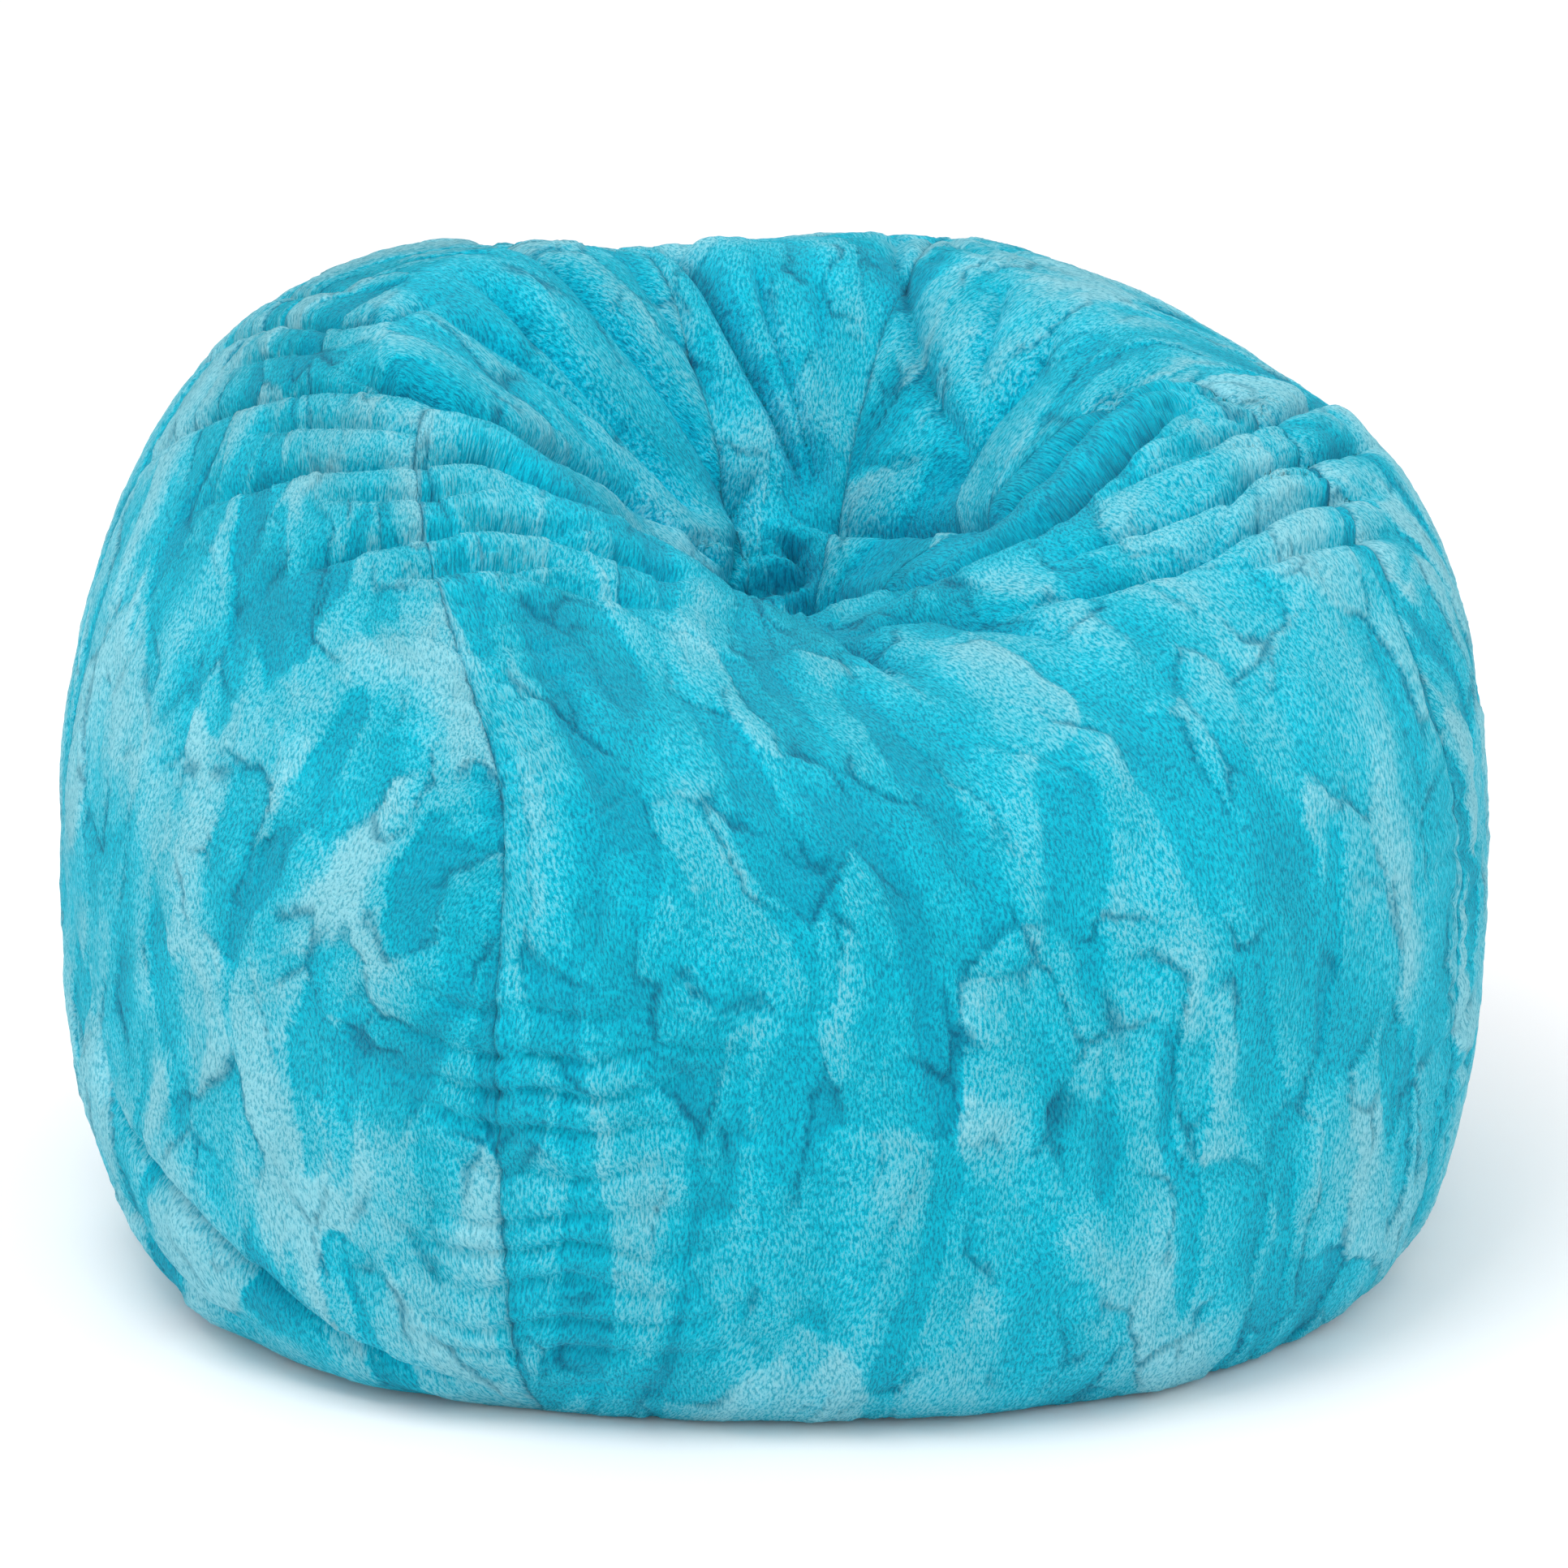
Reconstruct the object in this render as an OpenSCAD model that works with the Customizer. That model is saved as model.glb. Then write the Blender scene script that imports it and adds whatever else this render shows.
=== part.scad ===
// Round plush bean bag chair: a fur cover of four gores and a zipped base, a cloth liner of the
// same cut with a zip of its own, and the foam filling inside it.
// Millimetres, +Z up. The origin is on the floor under the middle of the sack, and -Y is the front.

/* [Overall size] */
// Width of the sack at its fullest, left to right
sack_w = 1070; // [700:5:1500]
// Depth of the sack at its fullest, front to back
sack_d = 1030; // [700:5:1500]
// Height above the floor at which the sack is fullest
belly_h = 290; // [200:5:340]
// How far the foot ring is tucked in under the fullest line
foot_tuck = 98; // [60:1:140]
// Squareness of the sack seen from above, where 2 is an ellipse
plan_square = 2.33; // [2:0.01:3]
// Squareness of the shoulder above the fullest line
shoulder_square = 2.5; // [2:0.05:3]
// Squareness of the side below the fullest line
under_square = 2.7; // [2:0.05:3.2]

/* [Seat] */
// Height of the front lip of the seat
lip_h = 505; // [470:1:640]
// Height of the back rim, which the sitter leans on
back_rim_h = 690; // [560:1:860]
// Height of the left rim
left_rim_h = 685; // [560:1:860]
// Height of the right rim
right_rim_h = 637; // [560:1:860]
// Height of the pinch, where the four gores meet
pinch_h = 462; // [420:1:500]
// Pinch to the right of the middle
pinch_x = 10; // [-40:1:40]
// Pinch behind the middle
pinch_y = -15; // [-60:1:40]
// Pinch to the crest of the front lip
lip_r = 175; // [130:1:220]
// Pinch to the crest of the back rim
back_rim_r = 265; // [200:1:300]
// Pinch to the crest of the side rims
side_rim_r = 295; // [220:1:320]
// Radius of the eye left open at the pinch
eye_r = 9; // [6:0.5:14]

/* [Cloth] */
// Fur fabric with its pile, and the height of the pile under the sack
fur_t = 12; // [9:0.5:16]
// Liner cloth
liner_t = 1.5; // [1:0.1:3]
// Space between the cover and the liner
slip = 1; // [0.6:0.1:3]
// Space between the liner and the filling
fill_slip = 1; // [0.6:0.1:3]
// Space between two pieces at a seam
seam_gap = 0.3; // [0.2:0.05:0.6]

/* [Cover zip] */
// Half width of the gap in the pile that the zip lies in
zip_gap = 14; // [11:0.5:17]
// Width of each tape
tape_w = 17; // [15.5:0.5:22]
// Thickness of each tape
tape_t = 1; // [0.6:0.1:1.2]
// Height of the closed coil
coil_h = 2.4; // [1.6:0.1:2.8]
// Half width of the closed coil
coil_half_w = 4; // [3.4:0.1:5]
// Distance from one coil tooth to the next
coil_pitch = 5; // [4:0.5:8]
// Length of the slider
slider_l = 20; // [16:0.5:26]
// Length of the pull tab from its pivot
pull_l = 32; // [24:1:44]
// Width of the pull tab
pull_w = 10; // [8:0.5:12]
// Thickness of the pull tab
pull_t = 1.6; // [1.2:0.1:1.8]
// Radius of the pull's cross bar
pull_bar_r = 1; // [0.8:0.05:1.1]
// Clearance round the cross bar
pull_fit = 0.08; // [0.03:0.01:0.1]

/* [Liner zip] */
// Liner zip behind the middle, clear of the cover zip below it
liner_zip_y = 110; // [70:5:160]
// Half width of the slit that the liner zip closes
liner_zip_gap = 7; // [6:0.5:9]
// Width of each liner tape
liner_tape_w = 12; // [11:0.5:16]
// Thickness of each liner tape
liner_tape_t = 0.7; // [0.5:0.1:0.9]
// Height of the liner coil
liner_coil_h = 1.6; // [1.2:0.1:1.8]
// Half width of the liner coil
liner_coil_half_w = 2.8; // [2.4:0.1:3.4]
// Length of the liner slider
liner_slider_l = 12; // [9:0.5:16]

/* [Hidden] */
GORES = ["front_gore", "right_gore", "back_gore", "left_gore"];
LINER_GORES = ["liner_front_gore", "liner_right_gore", "liner_back_gore", "liner_left_gore"];

// Azimuths of the four seams, in degrees from the front towards the right: on the fullest line and
// below it, and on the rim, where the sitter's weight has dragged the front gore wide.
SEAM_LOW = [-21, 65, 159, 249];
SEAM_RIM = [-72, 96, 158, 205];
// Facets across a gore, and rings down the seat, the shoulder and the underside.
ACROSS = 12;
SEAT_RINGS = 6;
SHOULDER_RINGS = 7;
UNDER_RINGS = 6;
RINGS = SEAT_RINGS + SHOULDER_RINGS + UNDER_RINGS;

// The layers of cloth, as depths below the surface of the fur.
liner_out = fur_t + slip;
liner_in = liner_out + liner_t;
fill_out = liner_in + fill_slip;

// Heights in the base, from the floor up.
running_gap = 0.4;
slider_plate = 1.8;
tape_top = fur_t + tape_t;
slider_top = tape_top + running_gap + slider_plate;
liner_floor = slider_top + slip;
liner_cloth_top = liner_floor + liner_t;
liner_tape_top = liner_cloth_top + liner_tape_t;
liner_plate = 1.2;
liner_slider_top = liner_tape_top + running_gap + liner_plate;
fill_floor = liner_slider_top + fill_slip;
// Height over which the foot of an inner layer rises off the floor.
lift_fade = 40;

// ---- the shape of the sack ----

function mix(a, b, k) = a + (b - a) * k;
function smooth(k) = k <= 0 ? 0 : k >= 1 ? 1 : k * k * (3 - 2 * k);

// A value given at the front, back, left and right, carried smoothly round the sack.
function round_about(front, back, left, right, az) =
  (front + back + left + right) / 4 + (front - back) / 2 * cos(az) + (right - left) / 2 * sin(az)
  + (front + back - left - right) / 4 * cos(2 * az);

function belly_r(az) = pow(
  pow(abs(sin(az)) / (sack_w / 2), plan_square) + pow(abs(cos(az)) / (sack_d / 2), plan_square),
  -1 / plan_square
);
function foot_r(az) = belly_r(az) - foot_tuck;
function rim_h(az) = round_about(lip_h, back_rim_h, left_rim_h, right_rim_h, az);
function rim_r(az) = round_about(lip_r, back_rim_r, side_rim_r, side_rim_r, az);

// The section at one azimuth, as [radius, height]. v runs from 0 at the eye to 1 on the rim,
// 2 on the fullest line and 3 at the foot.
function section(az, v) = v <= 1
  ? [mix(eye_r, rim_r(az), v), mix(pinch_h, rim_h(az), pow(sin(90 * v), 2))]
  : v <= 2
  ? [mix(rim_r(az), belly_r(az), pow(sin(90 * (v - 1)), 2 / shoulder_square)),
     mix(belly_h, rim_h(az), pow(cos(90 * (v - 1)), 2 / shoulder_square))]
  : [mix(foot_r(az), belly_r(az), pow(cos(90 * (v - 2)), 2 / under_square)),
     belly_h * (1 - pow(sin(90 * (v - 2)), 2 / under_square))];

// The outward direction in the section, turned level at the foot so that each layer ends flat.
function outward(az, v) =
  let (step = 0.02, a = section(az, max(v - step, 0)), b = section(az, min(v + step, 3)))
  let (level = smooth((v - 2.6) / 0.4), n = [-(b[1] - a[1]), b[0] - a[0]])
  let (m = [mix(n[0], norm(n), level), mix(n[1], 0, level)])
  m / norm(m);

// The sections stand round the pinch in the seat and round the middle below the fullest line.
function centre(v) = [pinch_x, pinch_y] * (1 - smooth(v - 1));

// A point of the layer that lies depth below the fur, whose foot stands floor_h above the floor.
function layer_point(az, v, depth, floor_h, gap = 0) =
  let (p = section(az, v), n = outward(az, v), r = p[0] - depth * n[0], c = centre(v))
  let (turn = gap == 0 ? 0 : asin(gap / r))
  [c[0] + r * sin(az + turn), c[1] - r * cos(az + turn),
   p[1] - depth * n[1] + floor_h * exp(-p[1] / lift_fade)];

function ring_v(j) = j <= SEAT_RINGS ? j / SEAT_RINGS
  : j <= SEAT_RINGS + SHOULDER_RINGS ? 1 + (j - SEAT_RINGS) / SHOULDER_RINGS
  : 2 + (j - SEAT_RINGS - SHOULDER_RINGS) / UNDER_RINGS;

// The azimuth of a seam at v, and of a line a share k of the way across a gore.
function rim_share(v) = v <= 1 ? 1 : v >= 2 ? 0 : pow(2 - v, 3.5);
function seam_az(i, v) =
  mix(SEAM_LOW[i % 4], SEAM_RIM[i % 4], rim_share(v)) + (i >= 4 ? 360 : 0);
function gore_az(i, k, v) = mix(seam_az(i, v), seam_az(i + 1, v), k);

// One layer of a gore, ring by ring, held half a seam gap back from each seam.
function gore_layer(i, depth, floor_h) = [
  for (j = [0:RINGS], k = [0:ACROSS])
    layer_point(gore_az(i, k / ACROSS, ring_v(j)), ring_v(j), depth, floor_h,
      k == 0 ? seam_gap / 2 : k == ACROSS ? -seam_gap / 2 : 0)
];

function quad(a, b, c, d) = [[a, b, c], [a, c, d]];

// A gore of cloth between two depths, with its foot flat at floor_h.
module gore(i, depth_out, depth_in, floor_h) {
  n = ACROSS + 1;
  inner = n * (RINGS + 1);
  last = RINGS * n;
  polyhedron(
    points = concat(gore_layer(i, depth_out, floor_h), gore_layer(i, depth_in, floor_h)),
    faces = [
      for (j = [0:RINGS - 1], k = [0:ACROSS - 1], f = let (a = j * n + k)
        concat(quad(a, a + 1, a + n + 1, a + n),
               quad(inner + a, inner + a + n, inner + a + n + 1, inner + a + 1))) f,
      for (j = [0:RINGS - 1], f = let (a = j * n, b = a + ACROSS)
        concat(quad(a, a + n, inner + a + n, inner + a),
               quad(b, inner + b, inner + b + n, b + n))) f,
      for (k = [0:ACROSS - 1], f = let (a = k, b = last + k)
        concat(quad(a, inner + a, inner + a + 1, a + 1),
               quad(b, b + 1, inner + b + 1, inner + b))) f
    ],
    convexity = 6
  );
}

// The outline of a base panel inside the foot of a layer: the gores' own foot points, drawn in by
// one seam gap so that its edges run along theirs.
function foot_outline(depth) = [
  for (i = [0:3], k = [0:ACROSS - 1]) let (az = gore_az(i, k / ACROSS, 3), r = foot_r(az) - depth)
    [r * sin(az), -r * cos(az)]
];

// Half of a base panel, on the front or the back side of a zip at zip_y.
module base_half(side, depth, floor_h, thickness, zip_y, half_gap) {
  far = max(sack_w, sack_d);
  translate([0, 0, floor_h]) linear_extrude(thickness) intersection() {
    polygon(foot_outline(depth + seam_gap));
    translate([-far / 2, side < 0 ? zip_y - half_gap - far : zip_y + half_gap]) square(far);
  }
}

// ---- zips ----
// side is -1 for the front half of a zip and 1 for the back half.

// Half the length of a base panel along a line at y, short of the foot by its own seam.
function base_half_length(depth, y) =
  let (a = sack_w / 2 - foot_tuck - depth, b = sack_d / 2 - foot_tuck - depth)
  a * sqrt(1 - pow(y / b, 2));

end_margin = 6;
coil_margin = 30;
tape_l = 2 * (base_half_length(fur_t, 0) - end_margin);
coil_l = tape_l - 2 * coil_margin;
liner_tape_l = 2 * (base_half_length(liner_in, liner_zip_y + liner_zip_gap + 6) - end_margin);
liner_coil_l = liner_tape_l - 2 * coil_margin;
tape_edge = 1.2;
tooth_tip = 0.8;
post_half_t = 0.5;
stop_l = 3;

module zip_tape(side, length, width, thickness, zip_y, bottom) {
  y = side < 0 ? -tape_edge - width : tape_edge;
  translate([-length / 2, zip_y + y, bottom]) cube([length, width, thickness]);
}

// A coil half: a spine with a tooth at every pitch, the two halves half a pitch apart.
module coil_half(side, length, half_w, height, pitch, zip_y, top) {
  spine = (half_w + tooth_tip) / 2;
  count = floor(length / pitch) - 1;
  start = -length / 2 + (side < 0 ? pitch / 4 : 3 * pitch / 4);
  teeth = [
    for (i = [0:count - 1], c = [[0, spine], [0.1, tooth_tip], [0.4, tooth_tip], [0.5, spine]])
      [start + (i + c[0]) * pitch, c[1]]
  ];
  outline = concat(
    [[-length / 2, half_w], [-length / 2, spine]], teeth, [[length / 2, spine], [length / 2, half_w]]
  );
  translate([0, zip_y, top - height]) linear_extrude(height)
    polygon([for (p = outline) [p[0], side * p[1]]]);
}

// The body of a slider is this share of its nose's width, and its rails this share of its length.
waist_share = 0.8;
rail_share = 0.72;

// One face of a slider: wide at the front, where the two halves of the coil part.
module slider_outline(length, half_w) {
  translate([-length / 2, -half_w * waist_share])
    square([length - half_w, 2 * half_w * waist_share]);
  translate([length / 2 - half_w, 0]) circle(r = half_w, $fn = 48);
}

// A slider, closing towards +X: two plates joined by the post, with rails that hold the coil.
module slider_body(length, half_w, rail_w, plate, coil_bottom, top_of_tape, bottom_of_tape) {
  low = coil_bottom - running_gap;
  high = top_of_tape + running_gap;
  rail_y = half_w * waist_share - rail_w / 2;
  translate([0, 0, low - plate]) linear_extrude(plate) slider_outline(length, half_w);
  translate([0, 0, high]) linear_extrude(plate) slider_outline(length, half_w);
  translate([length / 2 - half_w, -post_half_t, low - plate / 2])
    cube([half_w * rail_share, 2 * post_half_t, high - low + plate]);
  for (side = [-1, 1])
    translate([-length / 2, side * rail_y - rail_w / 2, low - plate / 2])
      cube([length * rail_share, rail_w, bottom_of_tape - running_gap - low + plate / 2]);
}

// ---- the cover zip, hung in the gap in the pile under the sack ----

coil_bottom = fur_t - coil_h;
rail_w = 1.6;
slider_half_w = (coil_half_w + running_gap + rail_w) / waist_share;
slider_bottom = coil_bottom - running_gap - slider_plate;
slider_x = coil_l / 2 - slider_l / 2 - running_gap;
bail_l = 8;
bail_w = 2.4;
bail_wall = 1.2;
pull_x = slider_x - 1;
pull_z = slider_bottom - 0.4 - pull_bar_r - pull_fit;
bail_bottom = pull_z - pull_bar_r - bail_wall;
arm_w = 1.6;
arm_l = 6;

module pivot_bar(radius, length) {
  translate([pull_x, length / 2, pull_z]) rotate([90, 0, 0])
    cylinder(r = radius, h = length, $fn = 48);
}

module bail() {
  difference() {
    translate([pull_x - bail_l / 2, -bail_w / 2, bail_bottom])
      cube([bail_l, bail_w, slider_bottom - bail_bottom + slider_plate / 2]);
    pivot_bar(pull_bar_r + pull_fit, bail_w + 2);
  }
}

module zip_slider() {
  color("#9aa3a8") {
    translate([slider_x, 0, 0])
      slider_body(slider_l, slider_half_w, rail_w, slider_plate, coil_bottom, tape_top, fur_t);
    bail();
  }
}

// The pull, folded back along the closed zip and hung from the bail by its cross bar.
module zip_pull() {
  arm_gap = bail_w / 2 + running_gap;
  eye_w = 2 * (arm_gap + arm_w);
  color("#9aa3a8") {
    pivot_bar(pull_bar_r, eye_w - 0.4);
    for (side = [-1, 1])
      translate([pull_x - arm_l, side * (arm_gap + arm_w / 2) - arm_w / 2, pull_z - pull_t / 2])
        cube([arm_l, arm_w, pull_t]);
    translate([0, 0, pull_z - pull_t / 2]) linear_extrude(pull_t) difference() {
      union() {
        translate([pull_x - pull_l + pull_w / 2, -pull_w / 2])
          square([pull_l - arm_l - pull_w / 2, pull_w]);
        translate([pull_x - pull_l + pull_w / 2, 0]) circle(r = pull_w / 2, $fn = 48);
      }
      translate([pull_x - pull_l + pull_w / 2, 0]) circle(r = pull_w / 4, $fn = 48);
    }
  }
}

// A stop clamped on the coil at the end of a tape.
module zip_stop(x, half_w, low, high) {
  translate([x, -half_w, low]) cube([stop_l, 2 * half_w, high - low]);
}

module zip_top_stops() {
  wing = coil_half_w - tape_edge;
  color("#9aa3a8") for (side = [-1, 1])
    translate([0, side * (tape_edge + wing / 2), 0])
      zip_stop(coil_l / 2, wing / 2, coil_bottom, fur_t);
}

module zip_bottom_stop() {
  color("#9aa3a8") zip_stop(-coil_l / 2 - stop_l, coil_half_w, coil_bottom, fur_t);
}

// ---- the liner zip, in the liner's own base ----

liner_coil_bottom = liner_cloth_top - liner_coil_h;
liner_rail_w = 1;
liner_slider_half_w = (liner_coil_half_w + running_gap + liner_rail_w) / waist_share;
liner_slider_x = liner_coil_l / 2 - liner_slider_l / 2 - running_gap;

module liner_zip_slider() {
  color("#b7bdc0") translate([liner_slider_x, liner_zip_y, 0])
    slider_body(liner_slider_l, liner_slider_half_w, liner_rail_w, liner_plate, liner_coil_bottom,
      liner_tape_top, liner_cloth_top);
}

module liner_zip_stops() {
  color("#b7bdc0") for (x = [-liner_coil_l / 2 - stop_l, liner_coil_l / 2])
    translate([0, liner_zip_y, 0])
      zip_stop(x, liner_coil_half_w, liner_coil_bottom, liner_cloth_top);
}

// ---- the filling ----

// One closed form under the liner: the same rings, capped at the pinch and at the floor.
module foam_filling() {
  around = 4 * ACROSS;
  rings = [
    for (j = [0:RINGS], i = [0:3], k = [0:ACROSS - 1])
      layer_point(gore_az(i, k / ACROSS, ring_v(j)), ring_v(j), fill_out, fill_floor)
  ];
  top = len(rings);
  color("#f2efe4") polyhedron(
    points = concat(rings, [[pinch_x, pinch_y, pinch_h - fill_out], [0, 0, fill_floor]]),
    faces = [
      for (j = [0:RINGS - 1], k = [0:around - 1], f = let (a = j * around, b = (k + 1) % around)
        quad(a + k, a + b, a + around + b, a + around + k)) f,
      for (k = [0:around - 1]) [top, (k + 1) % around, k],
      for (k = [0:around - 1]) let (a = RINGS * around) [top + 1, a + k, a + (k + 1) % around]
    ],
    convexity = 6
  );
}

// ---- the pieces ----

for (i = [0:3]) {
  color("#2fbfd2") gore(i, 0, fur_t, 0);
  color("#e9e6dc") gore(i, liner_out, liner_in, liner_floor);
}
color("#25a9bc") base_half(-1, fur_t, 0, fur_t, 0, zip_gap);  // base_front_half
color("#25a9bc") base_half(1, fur_t, 0, fur_t, 0, zip_gap);  // base_back_half
color("#1f8fa0") zip_tape(-1, tape_l, tape_w, tape_t, 0, fur_t);  // zip_front_tape
color("#1f8fa0") zip_tape(1, tape_l, tape_w, tape_t, 0, fur_t);  // zip_back_tape
color("#1b7d8c") coil_half(-1, coil_l, coil_half_w, coil_h, coil_pitch, 0, fur_t);  // zip_front_coil
color("#1b7d8c") coil_half(1, coil_l, coil_half_w, coil_h, coil_pitch, 0, fur_t);  // zip_back_coil
zip_slider();
zip_pull();
zip_top_stops();
zip_bottom_stop();
color("#e9e6dc")  // liner_base_front
  base_half(-1, liner_in, liner_floor, liner_t, liner_zip_y, liner_zip_gap);
color("#e9e6dc")  // liner_base_back
  base_half(1, liner_in, liner_floor, liner_t, liner_zip_y, liner_zip_gap);
color("#f4f2ea")  // liner_zip_front_tape
  zip_tape(-1, liner_tape_l, liner_tape_w, liner_tape_t, liner_zip_y, liner_cloth_top);
color("#f4f2ea")  // liner_zip_back_tape
  zip_tape(1, liner_tape_l, liner_tape_w, liner_tape_t, liner_zip_y, liner_cloth_top);
color("#d9d6cb")  // liner_zip_front_coil
  coil_half(-1, liner_coil_l, liner_coil_half_w, liner_coil_h, coil_pitch, liner_zip_y,
    liner_cloth_top);
color("#d9d6cb")  // liner_zip_back_coil
  coil_half(1, liner_coil_l, liner_coil_half_w, liner_coil_h, coil_pitch, liner_zip_y,
    liner_cloth_top);
liner_zip_slider();
liner_zip_stops();
foam_filling();
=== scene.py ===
"""Round plush bean bag chair: a carved-fur cover of four gores over a zipped base, a cloth liner and
its shredded foam. Each piece is modelled over the frame's solids, in metres, with -Y at the front."""

import functools
import math
from collections import namedtuple

import bpy
import numpy as np
from bpy.props import FloatProperty, FloatVectorProperty, PointerProperty
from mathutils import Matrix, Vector


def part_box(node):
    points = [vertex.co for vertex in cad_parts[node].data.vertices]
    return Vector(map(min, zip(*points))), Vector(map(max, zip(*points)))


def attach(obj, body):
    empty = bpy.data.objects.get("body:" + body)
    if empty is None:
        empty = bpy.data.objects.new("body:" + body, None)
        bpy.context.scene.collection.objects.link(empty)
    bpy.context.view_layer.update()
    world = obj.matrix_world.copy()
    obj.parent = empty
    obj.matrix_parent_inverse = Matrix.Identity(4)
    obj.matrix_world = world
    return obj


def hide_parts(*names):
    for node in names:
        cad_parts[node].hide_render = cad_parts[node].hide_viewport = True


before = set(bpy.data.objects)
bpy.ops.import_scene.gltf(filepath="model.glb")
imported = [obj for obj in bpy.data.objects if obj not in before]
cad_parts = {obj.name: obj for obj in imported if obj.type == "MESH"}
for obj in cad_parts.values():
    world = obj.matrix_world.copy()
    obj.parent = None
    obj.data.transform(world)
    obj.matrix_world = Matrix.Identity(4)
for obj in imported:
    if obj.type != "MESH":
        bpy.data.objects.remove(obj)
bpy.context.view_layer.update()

bl_info = {
    "name": "Plush Bean Bag Chair",
    "version": (1, 0, 0),
    "blender": (4, 5, 0),
    "location": "3D View > Sidebar > Bean Bag",
    "description": "Models a round carved-fur bean bag chair with its zips, liner and filling",
    "category": "Add Mesh",
}

MM = 0.001
GORES = ("front_gore", "right_gore", "back_gore", "left_gore")


def linear(hex_colour):
    """An sRGB hex colour as linear red, green and blue."""
    parts = [int(hex_colour[i:i + 2], 16) / 255 for i in (1, 3, 5)]
    return tuple(c / 12.92 if c <= 0.04045 else ((c + 0.055) / 1.055) ** 2.4 for c in parts)


def length(name, default, description):
    """A length in metres that a user may change."""
    return FloatProperty(name=name, description=description, default=default, unit="LENGTH", precision=4)


def colour(name, hex_colour, description):
    """A colour that a user may change, given as sRGB hex."""
    return FloatVectorProperty(name=name, description=description, default=linear(hex_colour),
                               subtype="COLOR", min=0, max=1)


# ---- what a user would change ----

class SackForm(bpy.types.PropertyGroup):
    width: length("Width", 1.070, "Fullest width, left to right")
    depth: length("Depth", 1.030, "Fullest depth, front to back")
    belly_h: length("Belly height", 0.290, "Height at which the sack is fullest")
    foot_tuck: length("Foot tuck", 0.098, "How far the foot is tucked in under the belly")
    lip_h: length("Lip height", 0.505, "Height of the front lip of the seat")
    back_rim_h: length("Back rim height", 0.690, "Height of the back rim")
    left_rim_h: length("Left rim height", 0.685, "Height of the left rim")
    right_rim_h: length("Right rim height", 0.637, "Height of the right rim")
    pinch_h: length("Pinch height", 0.462, "Height of the pinch where the gores meet")
    pinch_x: length("Pinch across", 0.010, "Pinch to the right of the middle")
    pinch_y: length("Pinch back", -0.015, "Pinch behind the middle")
    lip_r: length("Lip radius", 0.175, "Pinch to the crest of the front lip")
    back_rim_r: length("Back rim radius", 0.265, "Pinch to the crest of the back rim")
    side_rim_r: length("Side rim radius", 0.295, "Pinch to the crest of each side rim")
    eye_r: length("Eye radius", 0.009, "Radius of the eye left at the pinch")
    plan_square: FloatProperty(name="Plan squareness", default=2.33, description="2 is an ellipse")
    shoulder_square: FloatProperty(name="Shoulder squareness", default=2.5, description="2 is an ellipse")
    under_square: FloatProperty(name="Underside squareness", default=2.7, description="2 is an ellipse")


class PileLook(bpy.types.PropertyGroup):
    pitch: length("Mesh pitch", 0.0032, "Distance between the points that the pile is modelled on")
    fur_t: length("Fur thickness", 0.012, "Backing cloth with its pile")
    patch_w: length("Patch width", 0.074, "Width of a carved patch, across the nap")
    patch_l: length("Patch length", 0.142, "Length of a carved patch, down the nap")
    carve: length("Carving depth", 0.0036, "Height of a carved patch's raised edge")
    tuft_w: length("Tuft width", 0.0062, "Width of a tuft, across the nap")
    tuft_l: length("Tuft length", 0.015, "Length of a tuft, down the nap")
    tuft_h: length("Tuft height", 0.0008, "How far a tuft stands out")
    tip: colour("Tips", "#95deec", "Pile that stands up and shows its tips")
    body: colour("Pile", "#00c9e3", "Pile at its middle length")
    # Roots: sheared pile, and also the painted shade of fold valleys, the hollow and the front.
    root: colour("Roots", "#00abc9", "Sheared pile and crevices")


class ClothLook(bpy.types.PropertyGroup):
    slip: length("Slip", 0.001, "Space between one layer and the next")
    liner_t: length("Liner thickness", 0.0015, "Thickness of the liner cloth")
    liner: colour("Liner", "#e9e6dc", "Undyed liner cloth")
    foam: colour("Foam", "#efe9d2", "Most of the shredded foam")
    tape: colour("Zip tape", "#1f8fa0", "Woven tape of the cover zip")


class StageLook(bpy.types.PropertyGroup):
    elevation: FloatProperty(name="Elevation", default=math.radians(17), subtype="ANGLE",
                             description="Height of the camera above the level")
    distance: length("Distance", 4.2, "Camera to the middle of the sack")
    aim_x: length("Aim across", 0.0067, "Aim of the camera, to the right of the middle")
    aim_z: length("Aim height", 0.333, "Height that the camera looks at")
    lens: FloatProperty(name="Lens", default=127.3, description="Focal length, mm, on a 36 mm sensor")
    floor: colour("Floor", "#fffcfc", "Pale studio floor")
    key: FloatProperty(name="Key light", default=50, description="Power of the key light in watts")
    sky: FloatProperty(name="Sky", default=1.02, description="Strength of the even light all round")


# ---- repeatable noise ----

def scatter(cells, seed):
    """A repeatable random number from 0 to 1 for each whole-numbered cell."""
    h = seed * 974634777
    for cell, prime in zip(cells, (374761393, 668265263, 1103515245)):
        h = h + cell * prime
    h = h & 0xFFFFFFFF
    h = ((h ^ (h >> 13)) * 1274126177) & 0xFFFFFFFF
    return ((h ^ (h >> 16)) & 0xFFFFFF) / 0xFFFFFF


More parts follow.
